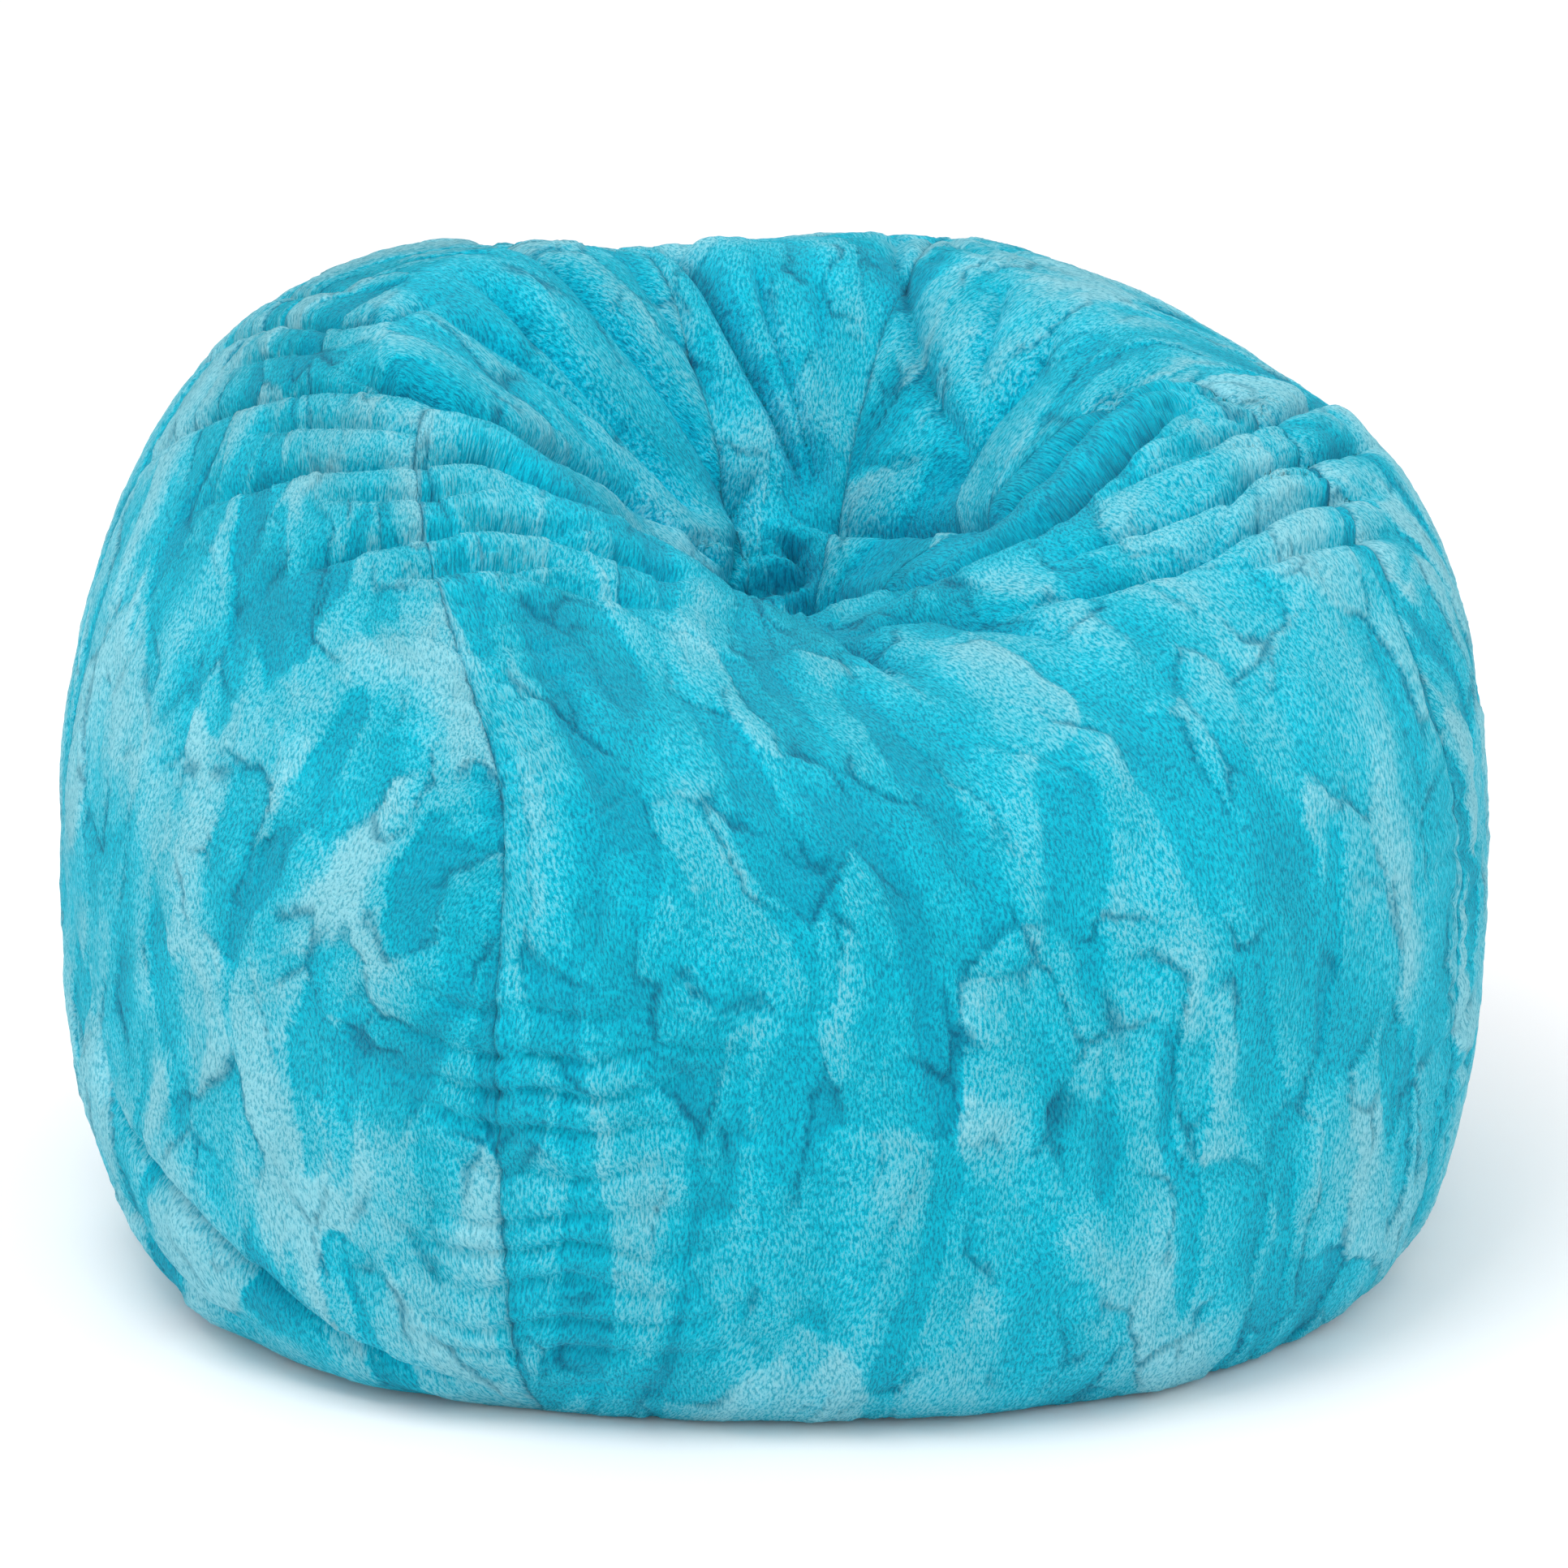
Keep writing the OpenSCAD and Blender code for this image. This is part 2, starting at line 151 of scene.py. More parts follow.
def noise(coords, seed=0):
    """Gradient noise of about -1 to 1 over two or three coordinates, with features one unit apart."""
    whole = [np.floor(c).astype(np.int64) for c in coords]
    part = [c - w for c, w in zip(coords, whole)]
    ease = [p * p * p * (p * (p * 6 - 15) + 10) for p in part]
    total = 0
    for corner in np.ndindex(*(2,) * len(coords)):
        turn = 2 * np.pi * scatter([w + c for w, c in zip(whole, corner)], seed)
        away = [p - c for p, c in zip(part, corner)]
        slope = np.cos(turn) * away[0] + np.sin(turn) * away[1]
        if len(coords) == 3:
            slope = 0.8 * slope + 0.8 * np.sin(3 * turn) * away[2]
        share = 1
        for e, c in zip(ease, corner):
            share = share * (e if c else 1 - e)
        total = total + slope * share
    return 1.6 * total


def smooth(k):
    """An even rise from 0 to 1 as k goes from 0 to 1."""
    k = np.clip(k, 0, 1)
    return k * k * (3 - 2 * k)


# ---- the form of the sack ----

# Azimuths of the four seams, in degrees from the front towards the right: on the belly and below,
# and on the rim, where the sitter's weight has dragged the front gore wide.
SEAM_LOW = (-21, 65, 159, 249)
SEAM_RIM = (-72, 96, 158, 205)


def round_about(front, back, left, right, az):
    """A value given at the front, back, left and right, carried smoothly round the sack."""
    return ((front + back + left + right) / 4 + (front - back) / 2 * np.cos(az)
            + (right - left) / 2 * np.sin(az) + (front + back - left - right) / 4 * np.cos(2 * az))


def section(f, az, v):
    """Radius and height at an azimuth. v is 0 at the eye, 1 on the rim, 2 on the belly, 3 at the foot."""
    rim_r = round_about(f.lip_r, f.back_rim_r, f.side_rim_r, f.side_rim_r, az)
    rim_h = round_about(f.lip_h, f.back_rim_h, f.left_rim_h, f.right_rim_h, az)
    n = f.plan_square
    belly_r = ((abs(np.sin(az)) / (f.width / 2)) ** n + (abs(np.cos(az)) / (f.depth / 2)) ** n) ** (-1 / n)
    seat, shoulder, under = np.clip(v, 0, 1), np.clip(v - 1, 0, 1), np.clip(v - 2, 0, 1)
    up, down = 2 / f.shoulder_square, 2 / f.under_square
    quarter = np.pi / 2
    cos_s, cos_u = (np.clip(np.cos(quarter * k), 0, 1) for k in (shoulder, under))
    r = np.where(v <= 1, f.eye_r + (rim_r - f.eye_r) * seat, np.where(
        v <= 2, rim_r + (belly_r - rim_r) * np.sin(quarter * shoulder) ** up,
        belly_r - f.foot_tuck * (1 - cos_u ** down)))
    z = np.where(v <= 1, f.pinch_h + (rim_h - f.pinch_h) * np.sin(quarter * seat) ** 2, np.where(
        v <= 2, f.belly_h + (rim_h - f.belly_h) * cos_s ** up,
        f.belly_h * (1 - np.sin(quarter * under) ** down)))
    return r, z


def surface(f, az, v):
    """Points of the sack's surface, one row for each azimuth and v."""
    r, z = section(f, az, v)
    near_pinch = 1 - smooth(v - 1)
    return np.stack([f.pinch_x * near_pinch + r * np.sin(az), f.pinch_y * near_pinch - r * np.cos(az), z], -1)


def outward(f, az, v):
    """Outward directions, turned level at the foot so that each layer ends flat on the floor."""
    step = 0.02
    down = surface(f, az, np.minimum(v + step, 3)) - surface(f, az, np.maximum(v - step, 0))
    along = surface(f, az + step, v) - surface(f, az - step, v)
    n = np.cross(down, along)
    n /= np.linalg.norm(n, axis=-1, keepdims=True) + 1e-12
    level = smooth((v - 2.6) / 0.4)[..., None]
    flat = np.stack([np.sin(az), -np.cos(az), 0 * az], -1)
    n = n * (1 - level) + flat * level
    return n / np.linalg.norm(n, axis=-1, keepdims=True)


def seam_azimuth(i, v):
    """Azimuth of the seam before gore i, in radians."""
    rim = np.where(v <= 1, 1, np.where(v >= 2, 0, np.clip(2 - v, 0, 1) ** 3.5))
    low, high = SEAM_LOW[i % 4], SEAM_RIM[i % 4]
    return np.radians(low + (high - low) * rim + (360 if i >= 4 else 0))


# ---- folds and gathers ----

Fold = namedtuple("Fold", "line depth width left right ends")
Gather = namedtuple("Gather", "line pitch height left right drift")

# Each line is a few points of (azimuth in degrees, v). A fold is a sharp valley with a roll to the
# left and right of it as it runs; ends says over what share of the line it fades in and out.
FOLDS = (
    # The deep pleat down the back of the seat, and the pleats beside it.
    Fold(((-162, 1.08), (-164, 0.83), (-168, 0.66), (-176, 0.53), (-186, 0.40), (-189, 0.34)),
         0.034, 0.010, 0.013, 0.005, (0.15, 0.2)),
    Fold(((-173, 0.98), (-175, 0.73), (-182, 0.56), (-189, 0.44), (-191, 0.36)),
         0.020, 0.008, 0.007, 0.007, (0.3, 0.2)),
    Fold(((168, 1.18), (162, 1.0), (152, 0.74), (140, 0.6), (122, 0.5), (125, 0.36)),
         0.014, 0.011, 0.008, 0.005, (0.3, 0.3)),
    Fold(((-133, 1.22), (-135, 1.04), (-138, 0.74), (-144, 0.56), (-156, 0.36), (-165, 0.2)),
         0.020, 0.011, 0.004, 0.003, (0.3, 0.2)),
    Fold(((127, 0.9), (121, 0.72), (120, 0.55), (117, 0.42)), 0.012, 0.012, 0.007, 0.005, (0.3, 0.3)),
    Fold(((-116, 1.0), (-118, 0.7), (-128, 0.45), (-140, 0.25)), 0.017, 0.012, 0.009, 0.007, (0.3, 0.2)),
    Fold(((-150, 0.98), (-151, 0.78), (-156, 0.6), (-166, 0.42)),
         0.012, 0.009, 0.006, 0.005, (0.3, 0.3)),
    Fold(((-100, 0.98), (-104, 0.76), (-116, 0.54), (-132, 0.36)),
         0.013, 0.010, 0.007, 0.004, (0.3, 0.3)),
    Fold(((142, 0.98), (137, 0.8), (131, 0.66), (124, 0.6)), 0.010, 0.010, 0.006, 0.005, (0.3, 0.3)),
    Fold(((176, 0.92), (172, 0.7), (168, 0.5), (166, 0.36)), 0.011, 0.010, 0.006, 0.006, (0.3, 0.2)),
    # The crease inside the right rim that runs down into the pinch.
    Fold(((92, 1.04), (86, 0.95), (76, 0.86), (62, 0.8), (50, 0.62), (60, 0.4), (90, 0.22)),
         0.026, 0.010, 0.004, 0.012, (0.2, 0.15)),
    Fold(((104, 1.0), (98, 0.84), (88, 0.7), (80, 0.54), (88, 0.38)),
         0.013, 0.010, 0.005, 0.008, (0.3, 0.2)),
    # Rolls behind the lip, where the cloth is pressed together.
    Fold(((178, 0.32), (150, 0.33), (120, 0.36), (92, 0.46), (70, 0.62)),
         0.020, 0.009, 0.004, 0.015, (0.25, 0.3)),
    Fold(((-150, 0.34), (-172, 0.20), (150, 0.13), (98, 0.17), (62, 0.34), (48, 0.56)),
         0.022, 0.008, 0.004, 0.014, (0.15, 0.3)),
    # The lip's left part folds over the channel that runs out of the pinch to the right.
    Fold(((-70, 0.42), (-32, 0.58), (-4, 0.72), (9, 0.9), (14, 1.06), (17, 1.2)),
         0.026, 0.010, 0.004, 0.017, (0.2, 0.3)),
    Fold(((8, 0.7), (22, 0.86), (31, 1.0), (35, 1.12), (36, 1.26)),
         0.012, 0.013, 0.006, 0.005, (0.3, 0.35)),
    # Folds that run from the left seam into the pinch.
    Fold(((-84, 1.1), (-74, 0.88), (-76, 0.68), (-96, 0.46), (-120, 0.3), (-150, 0.2)),
         0.024, 0.009, 0.012, 0.005, (0.2, 0.1)),
    Fold(((-68, 1.08), (-56, 0.92), (-53, 0.72), (-66, 0.5), (-92, 0.3)),
         0.017, 0.010, 0.009, 0.004, (0.3, 0.2)),
    Fold(((-56, 1.12), (-42, 1.03), (-32, 0.98), (-24, 0.86), (-16, 0.76)),
         0.013, 0.009, 0.008, 0.004, (0.3, 0.3)),
    Fold(((-52, 1.2), (-40, 1.12), (-28, 1.06), (-16, 1.0)), 0.009, 0.009, 0.006, 0.003, (0.35, 0.35)),
    # The run of folds over the left shoulder, square to the rim, which close up towards the pinch.
    Fold(((-48, 1.3), (-46, 1.22), (-41, 1.11), (-33, 1.02)), 0.011, 0.007, 0.004, 0.005, (0.35, 0.35)),
    Fold(((-57, 1.42), (-53, 1.24), (-49, 1.12), (-42, 0.98), (-38, 0.84)),
         0.015, 0.007, 0.004, 0.006, (0.35, 0.3)),
    Fold(((-62, 1.26), (-60, 1.2), (-56, 1.1), (-52, 1.0)), 0.011, 0.006, 0.004, 0.005, (0.4, 0.35)),
    Fold(((-72, 1.46), (-67, 1.24), (-63, 1.1), (-60, 0.96), (-57, 0.8)),
         0.017, 0.007, 0.004, 0.007, (0.35, 0.3)),
    Fold(((-76, 1.28), (-74, 1.2), (-71, 1.1), (-67, 1.0)), 0.012, 0.006, 0.004, 0.005, (0.4, 0.35)),
    Fold(((-87, 1.52), (-81, 1.26), (-79, 1.1), (-76, 0.98), (-72, 0.84)),
         0.016, 0.007, 0.005, 0.006, (0.35, 0.3)),
    Fold(((-91, 1.3), (-89, 1.18), (-89, 1.04)), 0.011, 0.006, 0.004, 0.005, (0.4, 0.4)),
    Fold(((-103, 1.44), (-98, 1.24), (-95, 1.05), (-101, 0.94), (-112, 0.86)),
         0.014, 0.007, 0.005, 0.006, (0.3, 0.3)),
    Fold(((-110, 1.3), (-106, 1.16), (-106, 1.04)), 0.010, 0.007, 0.004, 0.005, (0.4, 0.4)),
    # Rolls standing in the pinch: a negative depth is a ridge.
    Fold(((168, 0.34), (-178, 0.3), (-166, 0.22), (-150, 0.12)), -0.024, 0.016, 0, 0, (0.3, 0.2)),
    Fold(((-174, 0.44), (-158, 0.35), (-147, 0.23), (-122, 0.12)), 0.017, 0.007, 0, 0, (0.3, 0.15)),
    Fold(((150, 0.16), (128, 0.18), (100, 0.24), (76, 0.36), (60, 0.52)),
         -0.015, 0.018, 0, 0, (0.25, 0.35)),
    Fold(((-40, 0.7), (-20, 0.8), (0, 0.88), (8, 0.98)), -0.010, 0.030, 0, 0, (0.35, 0.35)),
    # Folds over the right shoulder, square to the right seam.
    Fold(((32, 1.02), (44, 1.1), (54, 1.16), (63, 1.19), (72, 1.25), (84, 1.4)),
         0.019, 0.009, 0.004, 0.012, (0.3, 0.3)),
    Fold(((46, 1.0), (56, 1.04), (66, 1.11), (74, 1.15), (86, 1.28), (97, 1.42)),
         0.019, 0.008, 0.005, 0.010, (0.3, 0.3)),
    Fold(((64, 0.98), (74, 1.02), (84, 1.1), (96, 1.22), (106, 1.34)),
         0.016, 0.008, 0.005, 0.009, (0.3, 0.3)),
    Fold(((52, 1.2), (60, 1.26), (70, 1.34), (80, 1.46)), 0.011, 0.009, 0.004, 0.007, (0.3, 0.35)),
    # The long folds low on the left.
    Fold(((-66, 2.0), (-60, 2.19), (-50, 2.32), (-42, 2.46), (-32, 2.62), (-22, 2.72)),
         0.014, 0.010, 0.008, 0.007, (0.35, 0.2)),
    Fold(((-80, 1.9), (-74, 2.15), (-64, 2.4), (-52, 2.6), (-38, 2.74)),
         0.010, 0.010, 0.006, 0.005, (0.3, 0.3)),
)

# A gather is a run of puckers along a line, each square to it, with how far they reach either side.
GATHERS = (
    Gather(((-52, 1.10), (-43, 1.16), (-34, 1.27), (-25, 1.52), (-19, 1.8)),
           0.024, 0.0060, 0.060, 0.060, 0.35),
    Gather(((-19, 1.8), (-20, 2.15), (-20, 2.5), (-21, 2.82)), 0.030, 0.0125, 0.125, 0.060, 0.1),
    Gather(((104, 0.94), (88, 1.0), (74, 1.08), (68, 1.14), (65, 1.3)),
           0.027, 0.0120, 0.120, 0.085, -0.25),
    Gather(((65, 1.7), (65, 2.2), (65, 2.6)), 0.034, 0.0055, 0.070, 0.070, 0.1),
    Gather(((158, 0.8), (158, 1.1), (159, 1.5)), 0.030, 0.0085, 0.080, 0.080, 0.2),
    Gather(((205, 0.8), (208, 1.1), (240, 1.5)), 0.030, 0.0085, 0.080, 0.080, -0.2),
    Gather(((159, 1.9), (159, 2.7)), 0.034, 0.0060, 0.080, 0.080, 0.1),
    Gather(((249, 1.9), (249, 2.7)), 0.034, 0.0060, 0.080, 0.080, 0.1),
)
# A swell is a broad bulge of the filling under the cloth, round a place; a negative height is a hollow.
Swell = namedtuple("Swell", "azimuth v reach height")
SWELLS = (
    Swell(162, 1.12, 0.125, 0.019),
    Swell(114, 1.26, 0.120, -0.021),
    Swell(131, 1.19, 0.060, -0.004),
    Swell(207, 1.10, 0.095, -0.010),
    Swell(255, 2.40, 0.200, -0.006),
    Swell(100, 2.45, 0.200, 0.008),
)
ROLL_OUT = 2.4  # how many of its widths a fold's rolls stand out from its valley
LINE_STEPS = 8  # steps of a smoothed line between two of its points
REACH = 0.16  # how far from its line a fold or gather is worked out
DEEPEST = 0.030  # the most that folds sink the cloth
HIGHEST = 0.019  # the most that folds raise the cloth
# The grid of azimuth and v on which the layers underneath look up the cover's lowest places: fine
# steps for each coarse one, and the numbers of coarse steps.
AZ_FINE, V_FINE = 5, 4
AZ_STEPS, V_STEPS = 144, 120


def on_surface(f, line):
    """A line's points carried onto the sack by a smooth curve through them."""
    pts = np.array(line, float)
    pts = np.vstack([2 * pts[0] - pts[1], pts, 2 * pts[-1] - pts[-2]])
    out = []
    for a, b, c, d in zip(pts, pts[1:], pts[2:], pts[3:]):
        for t in np.arange(LINE_STEPS) / LINE_STEPS:
            out.append(0.5 * (2 * b + (c - a) * t + (2 * a - 5 * b + 4 * c - d) * t * t
                              + (3 * b - a - 3 * c + d) * t ** 3))
    out = np.array(out + [pts[-2]])
    return surface(f, np.radians(out[:, 0]), np.clip(out[:, 1], 0, 3))


def beside(points, normals, path):
    """For each point, how far along the path its nearest place is and its distance to the path, to the
    right of it as positive, seen from outside."""
    near = np.full(len(points), np.inf)
    along = np.zeros(len(points))
    side = np.ones(len(points))
    run = 0
    for a, b in zip(path, path[1:]):
        ab = b - a
        size = np.linalg.norm(ab)
        t = np.clip((points - a) @ ab / size ** 2, 0, 1)
        away = points - a - t[:, None] * ab
        d = np.linalg.norm(away, axis=1)
        closer = d < near
        near = np.where(closer, d, near)
        along = np.where(closer, run + t * size, along)
        right = np.einsum("ij,ij->i", np.cross(ab, normals), away)
        side = np.where(closer, np.where(right > 0, 1, -1), side)
        run += size
    return along, near * side, run


def within(points, path, reach):
    """Which points lie in the box round a path, with so much room on each side."""
    low, high = path.min(0) - reach, path.max(0) + reach
    return np.all((points > low) & (points < high), axis=1)


def drape(f, points, normals):
    """How far the folds and gathers of the loose cloth lift each point off the plain form."""
    lift = np.zeros(len(points))
    for fold in FOLDS:
        path = on_surface(f, fold.line)
        mine = within(points, path, REACH)
        along, d, total = beside(points[mine], normals[mine], path)
        start, end = fold.ends
        share = along / total
        fade = smooth(share / start) * smooth((1 - share) / end)
        far = abs(d) / (ROLL_OUT * fold.width)
        side = np.where(d > 0, fold.right, fold.left)
        h = side * far * np.exp(1 - far) - fold.depth * np.exp(-(abs(d) / fold.width) ** 1.2)
        lift[mine] += fade * h
    for g, gather in enumerate(GATHERS):
        path = on_surface(f, gather.line)
        mine = within(points, path, REACH)
        along, d, total = beside(points[mine], normals[mine], path)
        share = along / total
        fade = smooth(share / 0.18) * smooth((1 - share) / 0.25)
        reach = np.where(d > 0, gather.right, gather.left)
        wobble = noise((along / 0.06 + 9 * g, d / 0.07), 5)
        # Each pucker is its own size, leans a little and swings off its line.
        phase = (along + gather.drift * abs(d)) / gather.pitch + 0.45 * wobble
        size = 0.75 + 0.5 * noise((np.floor(phase) * 3.7, 0 * d + 0.5), 6 + g)
        lean = phase + 0.10 * np.sin(2 * np.pi * phase)
        wave = 0.5 - abs(np.cos(np.pi * lean)) ** 2.2
        fade = fade * np.exp(-(abs(d) / reach) ** 1.5) * (0.35 + 0.65 * smooth(abs(d) / 0.012))
        lift[mine] += fade * gather.height * size * wave
    # The filling is uneven, in lumps of a hand's breadth and of a few fingers.
    lift += 0.0055 * noise(tuple((points / 0.21).T), 11) - 0.003
    lift += 0.0022 * noise(tuple((points / 0.085).T), 12)
    return np.where(lift < 0, -DEEPEST * np.tanh(-lift / DEEPEST), HIGHEST * np.tanh(lift / HIGHEST))


def swells(f, points):
    """How far the uneven filling lifts each point off the plain form."""
    lift = np.zeros(len(points))
    for swell in SWELLS:
        middle = surface(f, np.radians([swell.azimuth]), np.array([swell.v]))
        lift += swell.height * np.exp(-((points - middle) ** 2).sum(1) / swell.reach ** 2)
    return lift


@functools.lru_cache(maxsize=None)
def lowest_drape():
    """The deepest lift near each place, on a coarse grid of azimuth and v, for the layers underneath."""
    f = bpy.context.scene.sack_form
    fine_az = np.radians(np.arange(AZ_STEPS * AZ_FINE) * (360 / AZ_STEPS / AZ_FINE))
    fine_v = np.linspace(0, 3, V_STEPS * V_FINE + 1)
    az, v = (g.ravel() for g in np.meshgrid(fine_az, fine_v, indexing="ij"))
    points = surface(f, az, v)
    lift = (drape(f, points, outward(f, az, v)) + swells(f, points)).reshape(len(fine_az), len(fine_v))
    lift = np.minimum(lift, 0)
    rows = np.stack([lift[i::AZ_FINE] for i in range(AZ_FINE)]).min(0)
    last = V_FINE * (V_STEPS - 1) + 1
    low = np.stack([rows[:, i:i + last:V_FINE] for i in range(V_FINE + 1)]).min(0)
    low = np.minimum.reduce([low, np.roll(low, 1, 0), np.roll(low, -1, 0)])
    ends = np.minimum(low[:, 1:], low[:, :-1])
    return np.concatenate([low[:, :1], ends, low[:, -1:]], axis=1)


def under_drape(az, v):
    """The lift of a layer that lies under the cover, which passes below each of the cover's folds."""
    low = lowest_drape()
    a = np.mod(np.degrees(az), 360) / (360 / AZ_STEPS)
    i, k = np.floor(a).astype(int) % low.shape[0], a - np.floor(a)
    last = low.shape[1] - 1
    b = np.clip(v / 3 * last, 0, last - 1e-6)
    j, m = np.floor(b).astype(int), b - np.floor(b)
    near, far = low[i], low[(i + 1) % low.shape[0]]
    pick = np.arange(len(az))
    row = near[pick, j] * (1 - k) + far[pick, j] * k
    nxt = near[pick, j + 1] * (1 - k) + far[pick, j + 1] * k
    return row * (1 - m) + nxt * m


# ---- the carved pile ----

def plates(x, y, seed):
    """The two nearest patches at each place: their cells, the offset from each one's middle, and how
    much nearer the first is."""
    ix, iy = np.floor(x).astype(np.int64), np.floor(y).astype(np.int64)
    best = [np.full(x.shape, np.inf) for _ in range(2)]
    data = [[np.zeros(x.shape) for _ in range(4)] for _ in range(2)]
    for dx in (-1, 0, 1):
        for dy in (-1, 0, 1):
            cx, cy = ix + dx, iy + dy
            ox = x - cx - 0.1 - 0.8 * scatter((cx, cy), seed)
            oy = y - cy - 0.1 - 0.8 * scatter((cx, cy), seed + 1)
            d = (abs(ox) ** 3 + abs(oy) ** 3) ** (1 / 3)
            new = [cx, cy, ox, oy]
            first, second = d < best[0], (d >= best[0]) & (d < best[1])
            best[1] = np.where(first, best[0], np.where(second, d, best[1]))
            data[1] = [np.where(first, a, np.where(second, n, b)) for a, b, n in zip(data[0], data[1], new)]
            best[0] = np.where(first, d, best[0])
            data[0] = [np.where(first, n, a) for a, n in zip(data[0], new)]
    return data[0], data[1], best[1] - best[0]


# How the cloth's coordinates wander before the patches are laid on them, so that their edges bend and
# fray: how far, and how long each bend is across and down the nap, in metres.
BENDS_ACROSS = ((0.014, 0.09, 0.16), (0.005, 0.026, 0.040), (0.0022, 0.008, 0.010))
BENDS_DOWN = ((0.022, 0.09, 0.12), (0.007, 0.026, 0.034), (0.0030, 0.006, 0.010))
# Sizes of the patches, as shares of the full size, and how much each size counts.
PATCH_SIZES = ((1.0, 1.0), (0.56, 0.45))
CREVICE_W = 0.0030  # half the width of a crevice between two patches
CREVICE_DEPTH = 0.0018


def bent(place, bends, x, y, seed):
    """A cloth coordinate moved by each of its bends."""
    for k, (far, across, down) in enumerate(bends):
        place = place + far * noise((x / across, y / down), seed + k)
    return place


def carved(p, x, y, seed):
    """Height, lightness and crevices of the carved pile at cloth coordinates in metres. The pile is
    sheared in tilted patches of two sizes with broken crevices between them, and its lightness drifts
    over the cloth, with a few long dark streaks."""
    w, l = p.patch_w, p.patch_l
    wx = bent(x, BENDS_ACROSS, x, y, seed + 1)
    wy = bent(y, BENDS_DOWN, x, y, seed + 4)
    total, crack = 0, 0
    for k, (size, share) in enumerate(PATCH_SIZES):
        near, far, gap = plates(wx / (w * size), wy / (l * size), seed + 8 + 20 * k)

        def tilt(cell_x, cell_y, ox, oy):
            cell = (cell_x.astype(np.int64), cell_y.astype(np.int64))
            turn = 2 * np.pi * scatter(cell, seed + 10 + k)
            steep = 0.35 + 0.8 * scatter(cell, seed + 14 + k)
            level = 0.30 * (scatter(cell, seed + 17 + k) - 0.5)
            return steep * (np.cos(turn) * ox + 0.7 * np.sin(turn) * oy) + level

        # Neighbouring patches run into one another over a short way. A crevice shows where they meet at
        # a step, and only here and there along it.
        blend = 0.5 * (1 - smooth(gap / 0.05))
        slope = tilt(*near) * (1 - blend) + tilt(*far) * blend
        step = abs(tilt(*near) - tilt(*far))
        broken = smooth(0.45 + 1.5 * noise((x / 0.06, y / 0.09), seed + 11 + k))
        total = total + share * slope
        crack_here = np.exp(-(gap * size * w / CREVICE_W) ** 2) * smooth((step - 0.08) / 0.4) * broken
        crack = np.maximum(crack, crack_here)
    # On top of the patches: slow drifts of the whole cloth, and streaks where the pile is short.
    broad = noise((wx / 0.11, wy / 0.20), seed + 12)
    mid = noise((wx / 0.035, wy / 0.10), seed + 13)
    streak = smooth((-0.26 - noise((wx / 0.040, wy / 0.20), seed + 15)) / 0.14)
    tone = (0.55 + 0.26 * broad + 0.15 * mid + 0.62 * total - 0.30 * streak
            + 0.08 * noise((wx / 0.012, wy / 0.022), seed + 16))
    height = p.carve * (1.0 * total + 0.5 * broad + 0.4 * mid - 0.7 * streak) - CREVICE_DEPTH * crack
    # The crevice mask is handed out too, to be painted as shade in the crevices.
    return height, np.clip(tone, 0, 1), crack


def tufted(p, x, y, seed):
    """Height of the tufts, whose lie wanders over the cloth."""
    wx = x + 0.010 * noise((x / 0.05, y / 0.05), seed + 20)
    wy = y + 0.010 * noise((x / 0.05, y / 0.05), seed + 21)
    coarse = noise((wx / p.tuft_w, wy / p.tuft_l), seed + 22)
    fine = noise((wx / (0.55 * p.tuft_w), wy / (0.5 * p.tuft_l)), seed + 23)
    return 0.7 * coarse + 0.5 * fine


# ---- meshes ----

def new_piece(name, points, faces, attributes=None, uv=None):
    """A smooth-shaded mesh object from arrays, with its point attributes and its cloth UV map."""
    mesh = bpy.data.meshes.new(name)
    mesh.from_pydata(points.tolist(), [], faces)
    for key, values in (attributes or {}).items():
        mesh.attributes.new(key, "FLOAT", "POINT").data.foreach_set("value", values.astype(np.float32))
    if uv is not None:
        corners = np.zeros(len(mesh.loops), np.int32)
        mesh.loops.foreach_get("vertex_index", corners)
        mesh.uv_layers.new(name="cloth").data.foreach_set("uv", uv[corners].astype(np.float32).ravel())
    mesh.shade_smooth()
    obj = bpy.data.objects.new(name, mesh)
    bpy.context.scene.collection.objects.link(obj)
    return obj


def finish_piece(obj, material, node):
    """Gives a piece of the sack its material and hangs it on the sack's body, in place of one node."""
    obj.data.materials.clear()
    obj.data.materials.append(material)
    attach(obj, "sack")
    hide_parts(node)


COARSE = 8  # steps of a gore's face for each step of its inner side


@functools.lru_cache(maxsize=None)
def middle_run(i):
    """Values of v down the middle of gore i, and the distance from the eye at each."""
    f = bpy.context.scene.sack_form
    v = np.linspace(0, 3, 1201)
    middle = seam_azimuth(i, v) * 0.5 + seam_azimuth(i + 1, v) * 0.5
    run = np.concatenate([[0], np.cumsum(np.linalg.norm(np.diff(surface(f, middle, v), axis=0), axis=1))])
    return v, run


def run_down(i, v):
    """Distance down the middle of gore i from the eye to v."""
    return np.interp(v, *middle_run(i))


def gore_rows(f, i, pitch):
    """The rows of a gore's net: v of each row, how many columns it has and its width. A row carries half
    as many columns each time the gore has narrowed by half."""
    v, run = middle_run(i)
    count = int(round(run[-1] / pitch / COARSE)) * COARSE
    rows = np.interp(np.linspace(0, run[-1], count + 1), run, v)
    k = np.linspace(0, 1, 33)
    a, b = seam_azimuth(i, rows)[:, None], seam_azimuth(i + 1, rows)[:, None]
    across = surface(f, a + (b - a) * k, rows[:, None] + 0 * k)
    width = np.linalg.norm(np.diff(across, axis=1), axis=2).sum(1)
    widest = int(round(width.max() / pitch / (4 * COARSE))) * 4 * COARSE
    halvings = np.clip(np.floor(np.log2(width.max() / width)), 0, 2).astype(int)
    halvings = np.where(np.arange(len(rows)) < width.argmax(), halvings, 0)
    return rows, widest // 2 ** halvings, width, run[-1]


